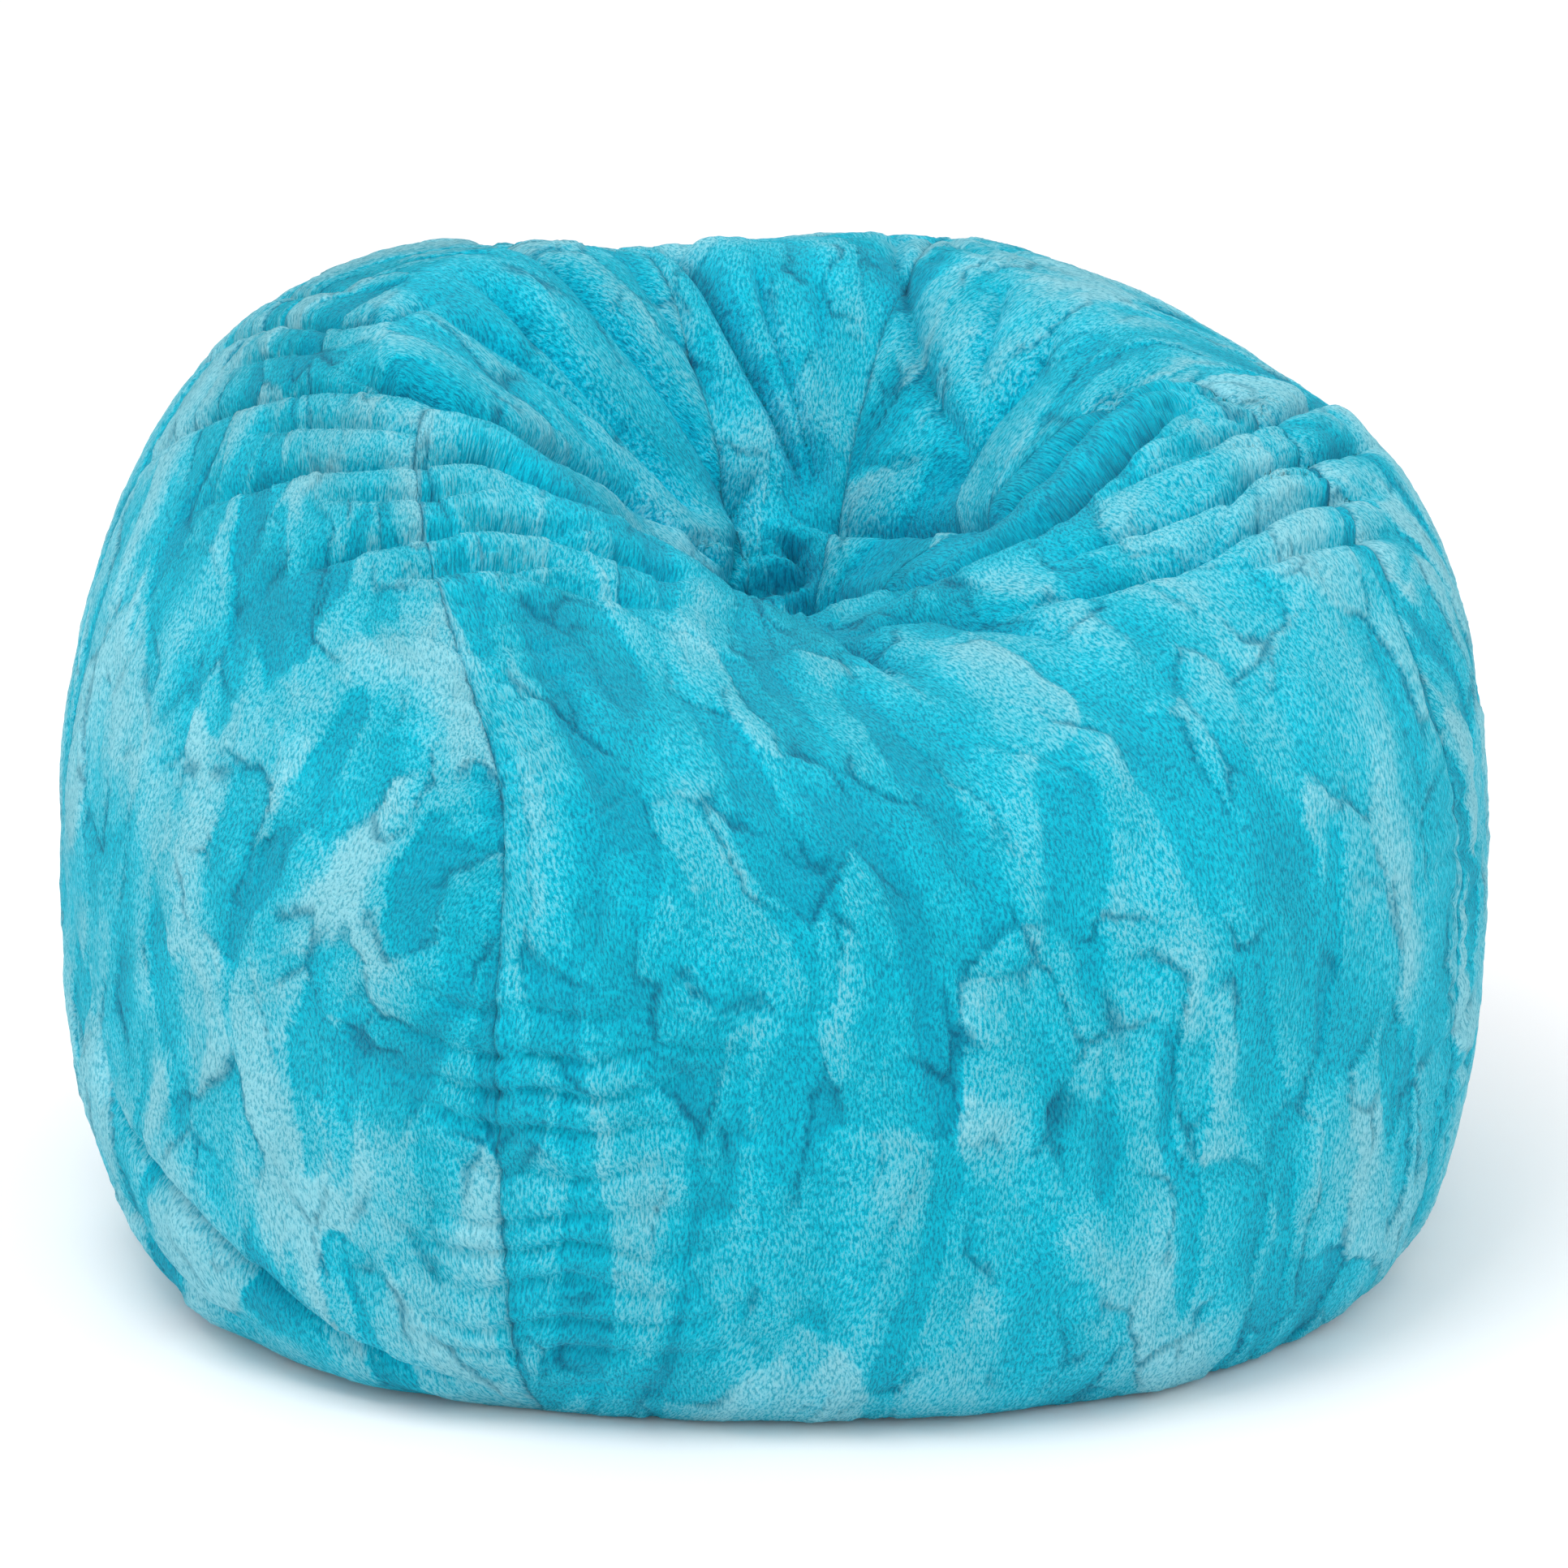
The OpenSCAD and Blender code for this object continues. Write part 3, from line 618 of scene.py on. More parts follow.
def net_faces(counts):
    """Faces of a net whose rows may double their columns from one row to the next."""
    starts = np.concatenate([[0], np.cumsum(np.array(counts) + 1)])
    faces = []
    for j in range(len(counts) - 1):
        a, b = starts[j], starts[j + 1]
        if counts[j] == counts[j + 1]:
            faces += [(a + k, b + k, b + k + 1, a + k + 1) for k in range(counts[j])]
        else:
            faces += [(a + k, b + 2 * k, b + 2 * k + 1, b + 2 * k + 2, a + k + 1) for k in range(counts[j])]
    return faces, starts


def gore_layer(f, i, rows, counts, gap):
    """Azimuth, v and share across of each point of a gore's net, held half a gap back from its seams."""
    v = np.concatenate([np.full(c + 1, r) for r, c in zip(rows, counts)])
    k = np.concatenate([np.linspace(0, 1, c + 1) for c in counts])
    a, b = seam_azimuth(i, v), seam_azimuth(i + 1, v)
    az = a + (b - a) * k
    r, _ = section(f, az, v)
    turn = np.arcsin(np.clip(gap / 2 / r, 0, 0.2))
    return az + np.where(k == 0, turn, np.where(k == 1, -turn, 0)), v, k


def closed_gore(name, i, f, pitch, shape, back):
    """A gore as a closed piece of cloth: shape gives the face's points, attributes and UVs, and back the
    points of its coarser inner side, sewn to the face all round."""
    rows, counts, width, run = gore_rows(f, i, pitch)
    az, v, k = gore_layer(f, i, rows, counts, 0)
    faces, starts = net_faces(counts)
    full = np.repeat(width, counts + 1)
    across = (k - 0.5) * full
    points, attributes = shape(az, v, k, across, full)
    down = np.concatenate([np.full(c + 1, j) for j, c in enumerate(counts)]) * run / (len(rows) - 1)
    inner_counts = [counts[j] // COARSE for j in range(0, len(rows), COARSE)]
    inner_rows = rows[::COARSE]
    inner_az, inner_v, inner_k = gore_layer(f, i, inner_rows, inner_counts, 0.3 * MM)
    inner_points = back(inner_az, inner_v)
    inner_faces, inner_starts = net_faces(inner_counts)
    base = len(points)
    faces += [tuple(base + n for n in reversed(face)) for face in inner_faces]
    inner_starts = inner_starts + base
    for side in (0, 1):
        outer = [int(starts[j] + side * counts[j]) for j in range(len(rows))]
        inner = [int(inner_starts[j] + side * inner_counts[j]) for j in range(len(inner_rows))]
        for j in range(len(inner) - 1):
            strip = outer[j * COARSE:(j + 1) * COARSE + 1]
            loop = strip + [inner[j + 1], inner[j]]
            faces.append(tuple(reversed(loop)) if side == 0 else tuple(loop))
    for end in (0, -1):
        n, m = int(counts[end]), int(inner_counts[end])
        o = int(starts[0 if end == 0 else len(rows) - 1])
        q = int(inner_starts[0 if end == 0 else len(inner_rows) - 1])
        step = n // m
        for k_ in range(m):
            loop = [o + k_ * step + s for s in range(step + 1)] + [q + k_ + 1, q + k_]
            faces.append(tuple(loop) if end == 0 else tuple(reversed(loop)))
    uv = np.stack([across, down], -1)
    inner_width = np.repeat(width[::COARSE], np.array(inner_counts) + 1)
    inner_down = np.concatenate([np.full(c + 1, j * COARSE) for j, c in enumerate(inner_counts)])
    inner_uv = np.stack([(inner_k - 0.5) * inner_width, inner_down * run / (len(rows) - 1)], -1)
    attributes = {key: np.concatenate([a, np.zeros(len(inner_points))]) for key, a in attributes.items()}
    obj = new_piece(name, np.vstack([points, inner_points]), faces, attributes, np.vstack([uv, inner_uv]))
    return obj, (float(width.max()), float(run))


def layer(f, az, v, depth, floor_h):
    """Points of a layer under the cover, following its folds from below."""
    lift = under_drape(az, v) * smooth((2.75 - v) / 0.25)
    points = surface(f, az, v) + outward(f, az, v) * (lift - depth)[:, None]
    points[:, 2] += floor_h * np.exp(-points[:, 2].clip(0) / 0.04)
    points[:, 2] = np.maximum(points[:, 2], floor_h)
    return points


def piece_area(obj):
    """Half the closed piece's surface: the area of the cloth it is made of."""
    areas = np.zeros(len(obj.data.polygons))
    obj.data.polygons.foreach_get("area", areas)
    return float(areas.sum() / 2)


LEAST_SHARE = 0.31  # of its flat rectangle that a cut sheet may cover


def cloth_area(obj, size):
    """A sheet's area, kept between the least share of its flat rectangle and all of it."""
    full = size[0] * size[1]
    return min(max(piece_area(obj), LEAST_SHARE * full), full)


def declare_gore(obj, flat):
    """Works out the sheet a gore is cut from, to its widest and its middle length, and the petal's own area;
    neither is kept.
    """
    size = tuple(math.ceil(side * 200) / 200 for side in flat)
    cloth_area(obj, size)


# ---- materials ----

def add(tree, kind, settings=None, inputs=None):
    """Adds a node, sets its own choices, and fills its inputs with numbers, colours or other sockets."""
    made = tree.nodes.new(kind)
    for key, value in (settings or {}).items():
        setattr(made, key, value)
    for key, value in (inputs or {}).items():
        if isinstance(value, bpy.types.NodeSocket):
            tree.links.new(value, made.inputs[key])
        else:
            made.inputs[key].default_value = value
    return made


def new_material(name, settings):
    """A material with a Principled shader whose fixed numbers are set on its own sockets."""
    material = bpy.data.materials.new(name)
    material.use_nodes = True
    tree = material.node_tree
    shader = next(n for n in tree.nodes if n.type == "BSDF_PRINCIPLED")
    for key, value in settings.items():
        shader.inputs[key].default_value = value
    return material, tree, shader


def rgba(colour_value, alpha=1.0):
    return (*colour_value[:3], alpha)


def plush_fur(p):
    # Knitted minky fur with a carved, tip-lightened pile: matt, soft, paler where the tips stand up,
    # with a faint bloom at the edges from the ends of the fibres.
    material, tree, shader = new_material("carved_minky_fur", {
        "Roughness": 0.92, "Specular IOR Level": 0.12, "Sheen Weight": 0.10, "Sheen Roughness": 0.45,
        "Sheen Tint": rgba(linear("#cdeff5"))})
    uv = add(tree, "ShaderNodeUVMap", {"uv_map": "cloth"}).outputs[0]
    tone = add(tree, "ShaderNodeAttribute", {"attribute_name": "pile"}).outputs["Fac"]
    crevice_shade = add(tree, "ShaderNodeAttribute", {"attribute_name": "crevice_shade"}).outputs["Fac"]
    # The lie of the nap wanders by a centimetre or so over the cloth.
    wander = add(tree, "ShaderNodeTexNoise", {"noise_dimensions": "2D"},
                 {"Vector": uv, "Scale": 11, "Detail": 1, "Roughness": 0.5})
    centred = add(tree, "ShaderNodeVectorMath", {"operation": "SUBTRACT"},
                  {0: wander.outputs["Color"], 1: (0.5, 0.5, 0.5)}).outputs[0]
    spread = add(tree, "ShaderNodeVectorMath", {"operation": "SCALE"},
                 {0: centred, "Scale": 0.022}).outputs[0]
    nap = add(tree, "ShaderNodeVectorMath", {"operation": "ADD"}, {0: uv, 1: spread}).outputs[0]
    # Locks just under 2 mm wide and 5 mm long, and finer fibres, with painted shade in the gaps between them.
    lock_map = add(tree, "ShaderNodeMapping", {}, {"Vector": nap, "Scale": (560, 200, 1)}).outputs[0]
    locks = add(tree, "ShaderNodeTexNoise", {"noise_dimensions": "2D"},
                {"Vector": lock_map, "Scale": 1, "Detail": 3, "Roughness": 0.68}).outputs[0]
    lock_light = add(tree, "ShaderNodeMapRange", {},
                     {0: locks, 1: 0.39, 2: 0.61, 3: -0.19, 4: 0.18}).outputs[0]
    bright = add(tree, "ShaderNodeMath", {"operation": "ADD"}, {0: tone, 1: lock_light}).outputs[0]
    ramp = add(tree, "ShaderNodeValToRGB", {}, {0: bright})
    stops = ramp.color_ramp.elements
    stops[0].position, stops[0].color = 0.0, rgba(p.root)
    stops[1].position, stops[1].color = 1.0, rgba(p.tip)
    middle = stops.new(0.45)
    middle.color = rgba(p.body)
    # Painted shade: the crevice mask darkens the pile in the crevices of the carving and in deep folds, and
    # along the seam lines.
    shade = add(tree, "ShaderNodeMix", {"data_type": "RGBA", "blend_type": "MULTIPLY"},
                {0: crevice_shade, 6: ramp.outputs[0], 7: rgba(linear("#4c9db0"))}).outputs[2]
    # Painted shade: the pile is darkened in the gaps between the locks.
    lock_gap_shade = add(tree, "ShaderNodeMapRange", {}, {0: locks, 1: 0.34, 2: 0.52, 3: 0.7, 4: 0.0}).outputs[0]
    between = add(tree, "ShaderNodeMix", {"data_type": "RGBA", "blend_type": "MULTIPLY"},
                  {0: lock_gap_shade, 6: shade, 7: rgba(linear("#8cc3d0"))}).outputs[2]
    tree.links.new(between, shader.inputs["Base Color"])
    bump = add(tree, "ShaderNodeBump", {}, {"Height": locks, "Strength": 1.0, "Distance": 0.0036})
    tree.links.new(bump.outputs[0], shader.inputs["Normal"])
    return material


def woven_cloth(name, tint, thread_mm):
    # Plain-woven cotton or polyester: matt threads crossing over and under, drawn at about one
    # millimetre so that the weave shows, with painted shade in the gaps between the threads.
    material, tree, shader = new_material(name, {"Roughness": 0.85, "Specular IOR Level": 0.2,
                                                 "Sheen Weight": 0.15, "Sheen Roughness": 0.5})
    place = add(tree, "ShaderNodeTexCoord").outputs["Object"]
    waves = [add(tree, "ShaderNodeTexWave", {"bands_direction": axis},
                 {"Vector": place, "Scale": 1000 / thread_mm / 2 / math.pi, "Distortion": 0.6,
                  "Detail": 1}).outputs["Fac"] for axis in ("X", "Y")]
    weave = add(tree, "ShaderNodeMath", {"operation": "MAXIMUM"}, {0: waves[0], 1: waves[1]}).outputs[0]
    slub = add(tree, "ShaderNodeTexNoise", {}, {"Vector": place, "Scale": 60, "Detail": 3}).outputs[0]
    # Painted shade in the gaps between the threads, mixed with the yarn's own uneven slub.
    thread_gap_shade_and_slub = add(tree, "ShaderNodeMath", {"operation": "MULTIPLY"}, {0: weave, 1: slub}).outputs[0]
    dark, light = (rgba([min(1, k * t) for t in tint[:3]]) for k in (0.72, 1.12))
    shade = add(tree, "ShaderNodeMix", {"data_type": "RGBA"}, {0: thread_gap_shade_and_slub, 6: dark, 7: light})
    tree.links.new(shade.outputs[2], shader.inputs["Base Color"])
    bump = add(tree, "ShaderNodeBump", {}, {"Height": weave, "Strength": 0.5, "Distance": 0.0003})
    tree.links.new(bump.outputs[0], shader.inputs["Normal"])
    return material


def crumb_foam(c):
    # Shredded polyurethane foam: matt offcuts of cream, white and a few pale blue crumbs, each with
    # fine open cells.
    material, tree, shader = new_material("shredded_polyurethane_foam", {"Roughness": 0.95,
                                                                         "Specular IOR Level": 0.15})
    place = add(tree, "ShaderNodeTexCoord").outputs["Object"]
    crumbs = add(tree, "ShaderNodeTexVoronoi", {}, {"Vector": place, "Scale": 70, "Randomness": 1})
    pick = add(tree, "ShaderNodeSeparateColor", {}, {0: crumbs.outputs["Color"]}).outputs[0]
    ramp = add(tree, "ShaderNodeValToRGB", {}, {0: pick})
    stops = ramp.color_ramp.elements
    stops[0].color, stops[1].color = rgba(c.foam), rgba(linear("#f8f6ec"))
    blue = stops.new(0.86)
    blue.color = rgba(linear("#bcd3dd"))
    ramp.color_ramp.interpolation = "CONSTANT"
    tree.links.new(ramp.outputs[0], shader.inputs["Base Color"])
    cells = add(tree, "ShaderNodeTexNoise", {}, {"Vector": place, "Scale": 900, "Detail": 2}).outputs[0]
    rough = add(tree, "ShaderNodeMath", {"operation": "ADD"},
                {0: cells, 1: crumbs.outputs["Distance"]}).outputs[0]
    bump = add(tree, "ShaderNodeBump", {}, {"Height": rough, "Strength": 0.8, "Distance": 0.002})
    tree.links.new(bump.outputs[0], shader.inputs["Normal"])
    return material


def moulded_nylon(name, hex_colour):
    # Extruded nylon monofilament: even colour with a soft waxy gloss and a faint draw line.
    material, tree, shader = new_material(name, {"Roughness": 0.38, "IOR": 1.53})
    place = add(tree, "ShaderNodeTexCoord").outputs["Object"]
    tint = linear(hex_colour)
    drawn = add(tree, "ShaderNodeTexNoise", {}, {"Vector": place, "Scale": 400, "Detail": 2}).outputs[0]
    dark, light = (rgba([min(1, k * t) for t in tint]) for k in (0.85, 1.1))
    shade = add(tree, "ShaderNodeMix", {"data_type": "RGBA"}, {0: drawn, 6: dark, 7: light})
    tree.links.new(shade.outputs[2], shader.inputs["Base Color"])
    return material


def cast_zinc():
    # Die-cast zinc with a satin nickel finish: soft grey metal, tumbled smooth, lightly rubbed.
    material, tree, shader = new_material("satin_nickel_zinc", {"Metallic": 1.0})
    shader.inputs["Base Color"].default_value = rgba(linear("#b9bcbd"))
    place = add(tree, "ShaderNodeTexCoord").outputs["Object"]
    rubbed = add(tree, "ShaderNodeTexNoise", {}, {"Vector": place, "Scale": 500, "Detail": 3}).outputs[0]
    rough = add(tree, "ShaderNodeMapRange", {}, {0: rubbed, 3: 0.28, 4: 0.48}).outputs[0]
    tree.links.new(rough, shader.inputs["Roughness"])
    bump = add(tree, "ShaderNodeBump", {}, {"Height": rubbed, "Strength": 0.15, "Distance": 0.0002})
    tree.links.new(bump.outputs[0], shader.inputs["Normal"])
    return material


# ---- operators ----

# How strongly each gore's patches differ in lightness, and how much lighter each gore is painted altogether:
# a painted sheen, most on the side gores.
SHEARING = (0.95, 1.75, 1.2, 1.35)
PAINTED_SHEEN = (-0.02, 0.10, 0.05, 0.11)
SEED_STEP = 40  # keeps each gore's random draws apart
HEM_H = 0.08  # over this much v at the foot the cloth comes down to its plain form


def fur_face(f, p, i, az, v, k, across, width):
    """Points, lightness and painted crevice shade of the outer face of gore i."""
    base, out = surface(f, az, v), outward(f, az, v)
    lift = drape(f, base, out)
    edge = (0.5 - abs(k - 0.5)) * width
    down = run_down(i, v)
    height, tone, crevice_shade = carved(p, across, down, SEED_STEP * i)
    tuft = tufted(p, across, down, SEED_STEP * i)
    # The pile dips into a groove at each seam, and the patches stop short of it.
    inner = smooth(edge / 0.010)
    ends = smooth(v / 0.06) * smooth((3 - v) / HEM_H)
    groove = 0.0030 * np.exp(-(edge / 0.0045) ** 1.5) + 0.0040 * np.exp(-edge / 0.030)
    h = (lift + swells(f, base)) * smooth((2.92 - v) / 0.2) + (height - 0.0015) * inner * ends
    h = h + p.tuft_h * tuft * (0.4 + 0.6 * inner) - groove * smooth((2.95 - v) / 0.1)
    points = base + out * h[:, None]
    # The pile closes the eye of the pinch.
    eye = np.array([f.pinch_x, f.pinch_y])
    points[:, :2] = eye + (points[:, :2] - eye) * (0.1 + 0.9 * smooth(v / 0.03))[:, None]
    points[:, 2] = np.maximum(points[:, 2], 0.0)
    # Patches are fainter in the hollow. The pile is painted deeper in colour there and on the front: painted
    # shade, the counterpart of the sheen painted onto the side gores.
    faint = 1 - 0.45 * smooth((1.05 - v) / 0.2)
    # The side gores are painted lighter: a painted sheen.
    tone = 0.5 + SHEARING[i] * faint * (tone - 0.5) + PAINTED_SHEEN[i]
    from_front = np.mod(az + np.pi, 2 * np.pi) - np.pi
    front = np.exp(-(from_front / 0.8) ** 2 - ((v - 1.6) / 0.5) ** 2)
    hollow_and_front_shade = smooth((1.08 - v) / 0.25) + 0.8 * front
    # Painted light and shade: the pile is drawn lighter where a fold rises and darker in its valley.
    raised = np.clip(lift, -0.02, 0.012)
    tone = np.clip(tone + 0.10 * tuft + 9 * raised - 0.26 * hollow_and_front_shade, 0, 1)
    # Dark places: painted shade in the crevices of the carving and in deep folds, and a seam line that shows
    # here and there.
    stitched = 0.10 + 0.50 * smooth(0.4 + 1.8 * noise((down / 0.04, k), 90))
    seam = np.exp(-(edge / 0.0030) ** 2) * stitched
    fold_shade = 0.6 * smooth((-lift - 0.006) / 0.014)
    return points, {"pile": tone, "crevice_shade": np.clip(0.75 * crevice_shade + seam + fold_shade, 0, 1)}


class BEANBAG_OT_cover(bpy.types.Operator):
    """Model the four fur gores of the cover, with their folds, gathers and carved pile"""
    bl_idname = "beanbag.cover"
    bl_label = "Fur Gores"

    def execute(self, context):
        f, p = context.scene.sack_form, context.scene.pile_look
        fur = plush_fur(p)
        for i, name in enumerate(GORES):
            face = functools.partial(fur_face, f, p, i)

            def back(az, v):
                return layer(f, az, v, p.fur_t, 0)

            obj, flat = closed_gore(name + "_fur", i, f, p.pitch, face, back)
            finish_piece(obj, fur, name)
            declare_gore(obj, flat)
        return {"FINISHED"}


def slab(name, top, bottom, attributes=None):
    """A closed sheet from two nets of points with the same rows and columns, its outer side first."""
    n, m = top.shape[:2]
    index = np.arange(n * m).reshape(n, m)
    size = n * m
    faces = []
    for net, flip in ((index, False), (index + size, True)):
        quads = np.stack([net[:-1, :-1], net[1:, :-1], net[1:, 1:], net[:-1, 1:]], -1).reshape(-1, 4)
        faces += [tuple(q) for q in (quads[:, ::-1] if flip else quads).tolist()]
    edge = np.concatenate([index[0, :-1], index[:-1, -1], index[-1, :0:-1], index[:0:-1, 0]])
    for a, b in zip(edge.tolist(), np.roll(edge, -1).tolist()):
        faces.append((a, b, b + size, a + size))
    points = np.concatenate([top.reshape(-1, 3), bottom.reshape(-1, 3)])
    rows = np.concatenate([[0], np.cumsum(np.linalg.norm(np.diff(top[:, m // 2], axis=0), axis=1))])
    width = np.linalg.norm(np.diff(top, axis=1), axis=2).sum(1)
    across = (np.linspace(0, 1, m) - 0.5) * width[:, None]
    uv = np.stack([across, np.broadcast_to(rows[:, None], (n, m))], -1).reshape(-1, 2)
    if attributes is not None:
        attributes = {key: np.concatenate([a.ravel(), 0 * a.ravel()]) for key, a in attributes.items()}
    return new_piece(name, points, faces, attributes, np.concatenate([uv, uv]))


def base_net(f, node, margin, columns, rows, zip_y):
    """A net over half a base panel, from its straight zip edge out to the round edge of its box."""
    low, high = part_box(node)
    side = -1 if high.y < zip_y else 1
    edge_y = high.y if side < 0 else low.y
    # The two azimuths at which the rim meets the zip edge, found by going round a few times.
    ends = np.pi * np.array((-0.5, 0.5) if side < 0 else (1.5, 0.5))
    for _ in range(6):
        r = section(f, ends, 0 * ends + 3)[0] - margin
        angle = np.arccos(np.clip(-edge_y / r, -1, 1))
        ends = np.array([-angle[0] if side < 0 else 2 * np.pi - angle[0], angle[1]])
    az = np.linspace(*ends, columns)
    rim_r = section(f, az, 0 * az + 3)[0] - margin
    rim = np.stack([rim_r * np.sin(az), -rim_r * np.cos(az)], -1)
    inner = np.stack([rim[:, 0], 0 * az + edge_y], -1)
    share = np.linspace(0, 1, rows)[:, None, None]
    return inner + (rim - inner) * share, low.z, high.z


class BEANBAG_OT_base(bpy.types.Operator):
    """Model the two fur halves of the base, pressed flat by the sack's weight"""
    bl_idname = "beanbag.base"
    bl_label = "Fur Base"

    def execute(self, context):
        f, p = context.scene.sack_form, context.scene.pile_look
        fur = plush_fur(p)
        for node, seed in (("base_front_half", 200), ("base_back_half", 240)):
            plan, low, high = base_net(f, node, p.fur_t + 0.3 * MM, 193, 97, 0)
            x, y = plan[..., 0], plan[..., 1]
            height, tone, crevice_shade = carved(p, x, y, seed)
            share = np.linspace(0, 1, plan.shape[0])[:, None] * np.ones(plan.shape[1])
            edge = np.minimum(share, 1 - share) * np.linalg.norm(plan[-1] - plan[0], axis=-1)
            ends = np.minimum(np.arange(plan.shape[1]), np.arange(plan.shape[1])[::-1]) * 4 * MM
            edge = np.minimum(edge, ends[None, :])
            tuft = tufted(p, x, y, seed)
            # The pile is pressed flat, and turns up into its seams.
            raised = 0.0012 - 0.25 * height + 0.0004 * tuft + 0.004 * np.exp(-edge / 0.003)
            bottom = np.dstack([plan, low + np.maximum(raised, 0)])
            top = np.dstack([plan, 0 * x + high])
            # The base's crevices take painted shade too, at three fifths strength; its pile is drawn a fifth
            # darker.
            obj = slab(node + "_fur", bottom, top, {"pile": tone * 0.8, "crevice_shade": 0.6 * crevice_shade})
            finish_piece(obj, fur, node)
            declare_flat(obj, node)
        return {"FINISHED"}


def declare_flat(obj, node):
    """Works out the sheet a flat piece of cloth is cut from, to its solid's own width and depth, and its
    area; neither is kept.
    """
    low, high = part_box(node)
    size = sorted((high.x - low.x, high.y - low.y, high.z - low.z))[1:]
    size = tuple(math.ceil(side * 1000) / 1000 for side in size)
    cloth_area(obj, size)


class BEANBAG_OT_liner(bpy.types.Operator):
    """Model the liner: four gores and two base halves of plain cloth, a little creased"""
    bl_idname = "beanbag.liner"
    bl_label = "Liner"

    def execute(self, context):
        f, p, c = context.scene.sack_form, context.scene.pile_look, context.scene.cloth_look
        cloth = woven_cloth("plain_weave_liner_cotton", c.liner, 1.1)
        depth = p.fur_t + c.slip
        floor_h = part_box("liner_front_gore")[0].z
        rows, columns = 121, 49
        for i, name in enumerate(GORES):
            k, v = np.meshgrid(np.linspace(0, 1, columns), np.linspace(0, 3, rows))
            az = seam_azimuth(i, v) * (1 - k) + seam_azimuth(i + 1, v) * k
            flat_az, flat_v = az.ravel(), v.ravel()
            crease = 0.0008 * (1 + noise((8 * flat_az, 9 * flat_v), 31)) * smooth((2.8 - flat_v) / 0.3)
            nets = [layer(f, flat_az, flat_v, depth + extra + crease, floor_h) for extra in (0, c.liner_t)]
            nets = [net.reshape(rows, columns, 3) for net in nets]
            obj = slab("liner_" + name + "_cloth", *nets)
            finish_piece(obj, cloth, "liner_" + name)
            long = np.linalg.norm(np.diff(nets[0][:, columns // 2], axis=0), axis=1).sum()
            width = np.linalg.norm(np.diff(nets[0], axis=1), axis=2).sum(1).max()
            declare_gore(obj, (width, long))
        for node in ("liner_base_front", "liner_base_back"):
            zip_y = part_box("liner_zip_slider")[0].y
            plan, low, high = base_net(f, node, depth + c.liner_t + 0.3 * MM, 97, 33, zip_y)
            bottom, top = (np.dstack([plan, np.full(plan.shape[:2], z)]) for z in (low, high))
            obj = slab(node + "_cloth", bottom, top)
            finish_piece(obj, cloth, node)
            declare_flat(obj, node)
        return {"FINISHED"}


class BEANBAG_OT_filling(bpy.types.Operator):
    """Model the filling: shredded foam pressed together, lumpy where it meets the liner"""
    bl_idname = "beanbag.filling"
    bl_label = "Foam Filling"

    def execute(self, context):
        f, p, c = context.scene.sack_form, context.scene.pile_look, context.scene.cloth_look
        floor_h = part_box("foam_filling")[0].z
        around, rows = 288, 168
        v = np.repeat(np.linspace(0, 3, rows), around)
        az = np.tile(np.arange(around) * 2 * np.pi / around, rows)
        base = surface(f, az, v)
        lumps = abs(noise(tuple((base / 0.032).T), 41)) + 0.5 * abs(noise(tuple((base / 0.014).T), 42))
        depth = p.fur_t + 2 * c.slip + c.liner_t + 0.004 * lumps * smooth((2.8 - v) / 0.3)
        points = layer(f, az, v, depth, floor_h)
        points = np.vstack([points, points[:around].mean(0), [0, 0, floor_h]])
        n = around * rows
        faces = []
        for j in range(rows - 1):
            a = j * around
            faces += [(a + k, a + around + k, a + around + (k + 1) % around, a + (k + 1) % around)
                      for k in range(around)]
        faces += [(n, k, (k + 1) % around) for k in range(around)]
        a = n - around
        faces += [(n + 1, a + (k + 1) % around, a + k) for k in range(around)]
        obj = new_piece("shredded_foam_filling", points, faces)
        finish_piece(obj, crumb_foam(c), "foam_filling")
        return {"FINISHED"}


def deselect():
    bpy.ops.object.select_all(action="DESELECT")


def tape_piece(node, zip_y):
    """A woven tape: a strip with rounded edges, cut through along its middle and along the side that carries
    the coil.
    """
    low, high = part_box(node)
    middle, size = (low + high) / 2, high - low
    deselect()
    bpy.ops.mesh.primitive_cube_add(size=1, location=middle, scale=size)
    obj = bpy.context.object
    obj.name = node + "_woven"
    bpy.ops.object.transform_apply(location=True, rotation=False, scale=True)
    bpy.ops.object.mode_set(mode="EDIT")
    bpy.ops.mesh.select_all(action="SELECT")
    bpy.ops.mesh.bevel(offset=0.3 * size.z, segments=2, affect="EDGES")
    bpy.ops.mesh.select_all(action="SELECT")
    bpy.ops.mesh.bisect(plane_co=middle, plane_no=(0, 1, 0))
    bead = low.y + 1.2 * MM if middle.y > zip_y else high.y - 1.2 * MM
    bpy.ops.mesh.select_all(action="SELECT")
    bpy.ops.mesh.bisect(plane_co=(middle.x, bead, middle.z), plane_no=(0, 1, 0))
    bpy.ops.mesh.select_all(action="DESELECT")
    bpy.ops.object.mode_set(mode="OBJECT")
    obj.data.shade_flat()
    bpy.ops.object.shade_smooth_by_angle(angle=math.radians(40))
    return obj


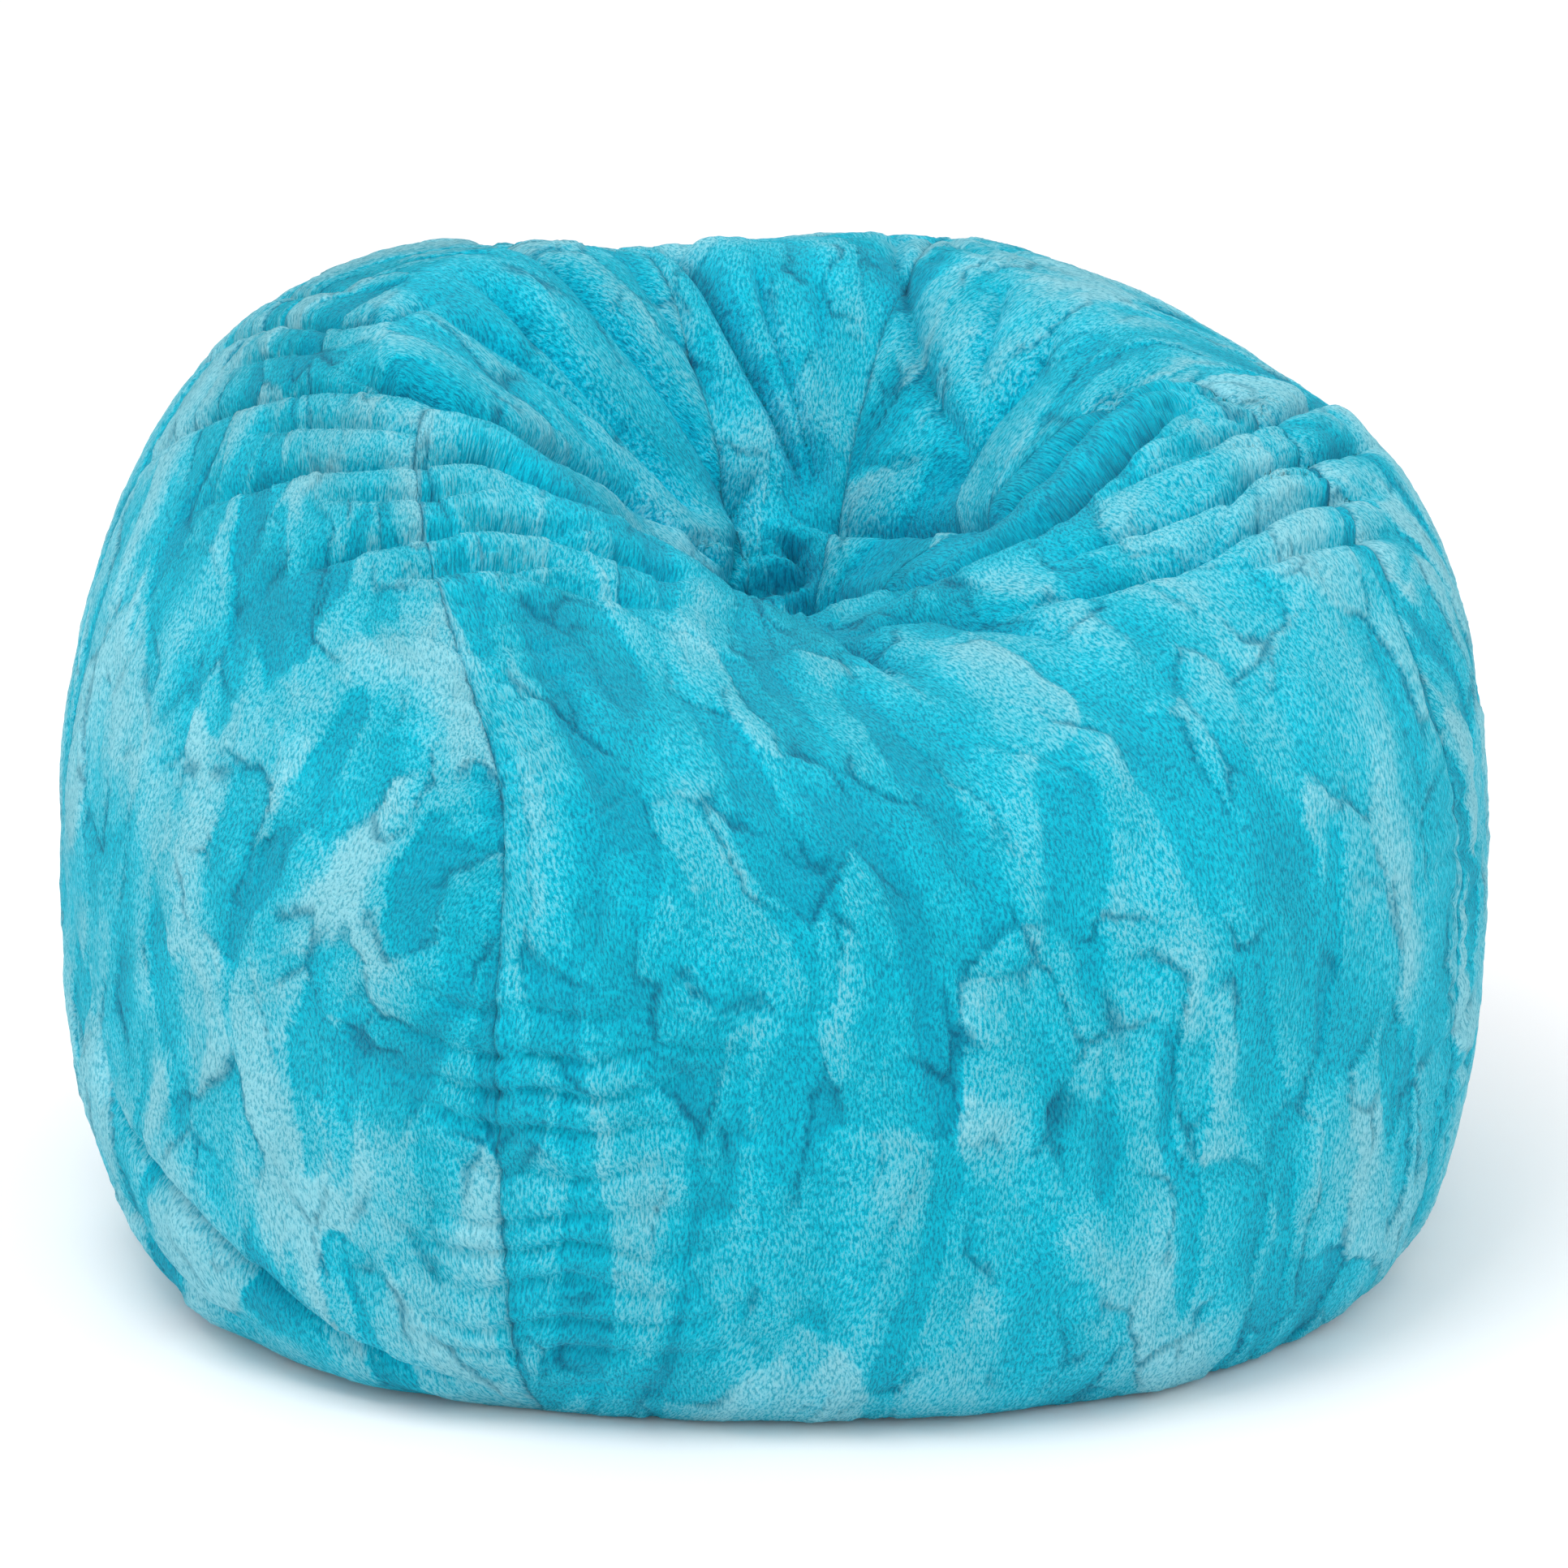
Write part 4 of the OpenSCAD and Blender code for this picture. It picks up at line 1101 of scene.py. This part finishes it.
def coil_piece(node, zip_y, pitch, wire):
    """A nylon coil: one flattened loop arrayed along the zip round a straight core."""
    low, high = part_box(node)
    side = -1 if (low.y + high.y) / 2 < zip_y else 1
    tip, back = (high.y, low.y) if side < 0 else (low.y, high.y)
    middle = Vector((0, (tip + back) / 2, (low.z + high.z) / 2))
    half_y, half_z = abs(tip - back) / 2, (high.z - low.z) / 2
    deselect()
    shift = pitch / 4 * side
    count = int((high.x - low.x - 2 * pitch) / pitch)
    bpy.ops.mesh.primitive_torus_add(
        major_segments=10, minor_segments=4, major_radius=1, minor_radius=0.2,
        location=(low.x + pitch + shift, middle.y, middle.z), rotation=(0, math.pi / 2, 0))
    loop = bpy.context.object
    bpy.ops.object.transform_apply(location=False, rotation=True, scale=False)
    loop.scale = (wire / 0.2, half_y / 1.2, half_z / 1.2)
    bpy.ops.object.transform_apply(location=True, rotation=False, scale=True)
    array = loop.modifiers.new("teeth", "ARRAY")
    array.use_relative_offset, array.use_constant_offset = False, True
    array.constant_offset_displace, array.count = (pitch, 0, 0), count
    bpy.ops.object.modifier_apply(modifier="teeth")
    bpy.ops.mesh.primitive_cylinder_add(vertices=8, radius=0.35 * half_z, depth=high.x - low.x,
                                        location=middle, rotation=(0, math.pi / 2, 0))
    bpy.ops.object.transform_apply(location=True, rotation=True, scale=True)
    loop.select_set(True)
    bpy.context.view_layer.objects.active = loop
    bpy.ops.object.join()
    loop.name = node + "_nylon"
    loop.data.shade_flat()
    bpy.ops.object.shade_smooth_by_angle(angle=math.radians(50))
    return loop


class BEANBAG_OT_zips(bpy.types.Operator):
    """Model the tapes and coils of the cover zip and the liner zip, and give their sliders, pull and stops a
    satin metal finish
    """
    bl_idname = "beanbag.zips"
    bl_label = "Zips"

    def execute(self, context):
        c = context.scene.cloth_look
        kinds = (("", woven_cloth("dyed_herringbone_zip_tape", c.tape, 0.9),
                  moulded_nylon("dyed_nylon_coil", "#16717f"), "zip_tape", "zip_coil", 2.5 * MM, 0.5 * MM),
                 ("liner_", woven_cloth("undyed_zip_tape", linear("#f4f2ea"), 0.9),
                  moulded_nylon("natural_nylon_coil", "#dedbd0"), "liner_zip_tape", "liner_zip_coil",
                  2.0 * MM, 0.4 * MM))
        for prefix, tape_cloth, nylon, tape_slot, coil_slot, pitch, wire in kinds:
            low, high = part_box(prefix + "zip_slider")
            zip_y = (low.y + high.y) / 2
            for end in ("front", "back"):
                node = prefix + "zip_" + end + "_tape"
                obj = tape_piece(node, zip_y)
                finish_piece(obj, tape_cloth, node)
                declare_flat(obj, node)
                node = prefix + "zip_" + end + "_coil"
                obj = coil_piece(node, zip_y, pitch, wire)
                finish_piece(obj, nylon, node)
        metal = cast_zinc()
        for node in ("zip_slider", "zip_pull", "zip_top_stops", "zip_bottom_stop",
                     "liner_zip_slider", "liner_zip_stops"):
            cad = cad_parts[node]
            cad.data.materials.clear()
            cad.data.materials.append(metal)
        return {"FINISHED"}


class BEANBAG_OT_stage(bpy.types.Operator):
    """Set up the pale floor, the soft lights and the camera"""
    bl_idname = "beanbag.stage"
    bl_label = "Stage"

    def execute(self, context):
        s = context.scene.stage_look
        deselect()
        bpy.ops.mesh.primitive_plane_add(size=40)
        floor = context.object
        floor.name = "studio_floor"
        # Studio floor paint: matt and even, so that it only takes the soft shadow.
        material, _, shader = new_material("studio_floor_paint",
                                           {"Roughness": 0.9, "Specular IOR Level": 0.1})
        shader.inputs["Base Color"].default_value = rgba(s.floor)
        floor.data.materials.append(material)
        world = bpy.data.worlds.new("soft_studio")
        world.use_nodes = True
        background = next(n for n in world.node_tree.nodes if n.type == "BACKGROUND")
        background.inputs[0].default_value = (1, 1, 1, 1)
        background.inputs[1].default_value = s.sky
        context.scene.world = world
        for name, place, power, size in (("key_light", (-0.9, -1.5, 3.4), s.key, 1.8),
                                         ("fill_light", (2.4, -1.8, 1.8), 0.18 * s.key, 1.8)):
            light = bpy.data.lights.new(name, "AREA")
            light.energy, light.size = power, size
            lamp = bpy.data.objects.new(name, light)
            lamp.location = place
            lamp.rotation_euler = (Vector((0, 0, 0.3)) - Vector(place)).to_track_quat("-Z", "Y").to_euler()
            context.scene.collection.objects.link(lamp)
        data = bpy.data.cameras.new("camera")
        data.lens, data.sensor_width, data.clip_end = s.lens, 36, 100
        camera = bpy.data.objects.new("camera", data)
        aim = Vector((s.aim_x, 0, s.aim_z))
        back = Vector((0, -math.cos(s.elevation), math.sin(s.elevation)))
        camera.location = aim + back * s.distance
        camera.rotation_euler = (-back).to_track_quat("-Z", "Y").to_euler()
        context.scene.collection.objects.link(camera)
        context.scene.camera = camera
        context.scene.view_settings.view_transform = "Standard"
        return {"FINISHED"}


class BEANBAG_PT_panel(bpy.types.Panel):
    """Lists the bean bag's operators in the sidebar"""
    bl_idname = "BEANBAG_PT_panel"
    bl_label = "Bean Bag"
    bl_space_type = "VIEW_3D"
    bl_region_type = "UI"
    bl_category = "Bean Bag"

    def draw(self, context):
        for operator in OPERATORS:
            self.layout.operator(operator.bl_idname)


OPERATORS = (BEANBAG_OT_stage, BEANBAG_OT_filling, BEANBAG_OT_liner, BEANBAG_OT_zips, BEANBAG_OT_base,
             BEANBAG_OT_cover)
GROUPS = {"sack_form": SackForm, "pile_look": PileLook, "cloth_look": ClothLook, "stage_look": StageLook}


def register():
    for cls in (*GROUPS.values(), *OPERATORS, BEANBAG_PT_panel):
        bpy.utils.register_class(cls)
    for name, group in GROUPS.items():
        setattr(bpy.types.Scene, name, PointerProperty(type=group))


def unregister():
    for name in GROUPS:
        delattr(bpy.types.Scene, name)
    for cls in (BEANBAG_PT_panel, *reversed(OPERATORS), *reversed(list(GROUPS.values()))):
        bpy.utils.unregister_class(cls)


def main():
    register()
    bpy.ops.beanbag.stage()
    bpy.ops.beanbag.filling()
    bpy.ops.beanbag.liner()
    bpy.ops.beanbag.zips()
    bpy.ops.beanbag.base()
    bpy.ops.beanbag.cover()


if __name__ == "__main__":
    main()
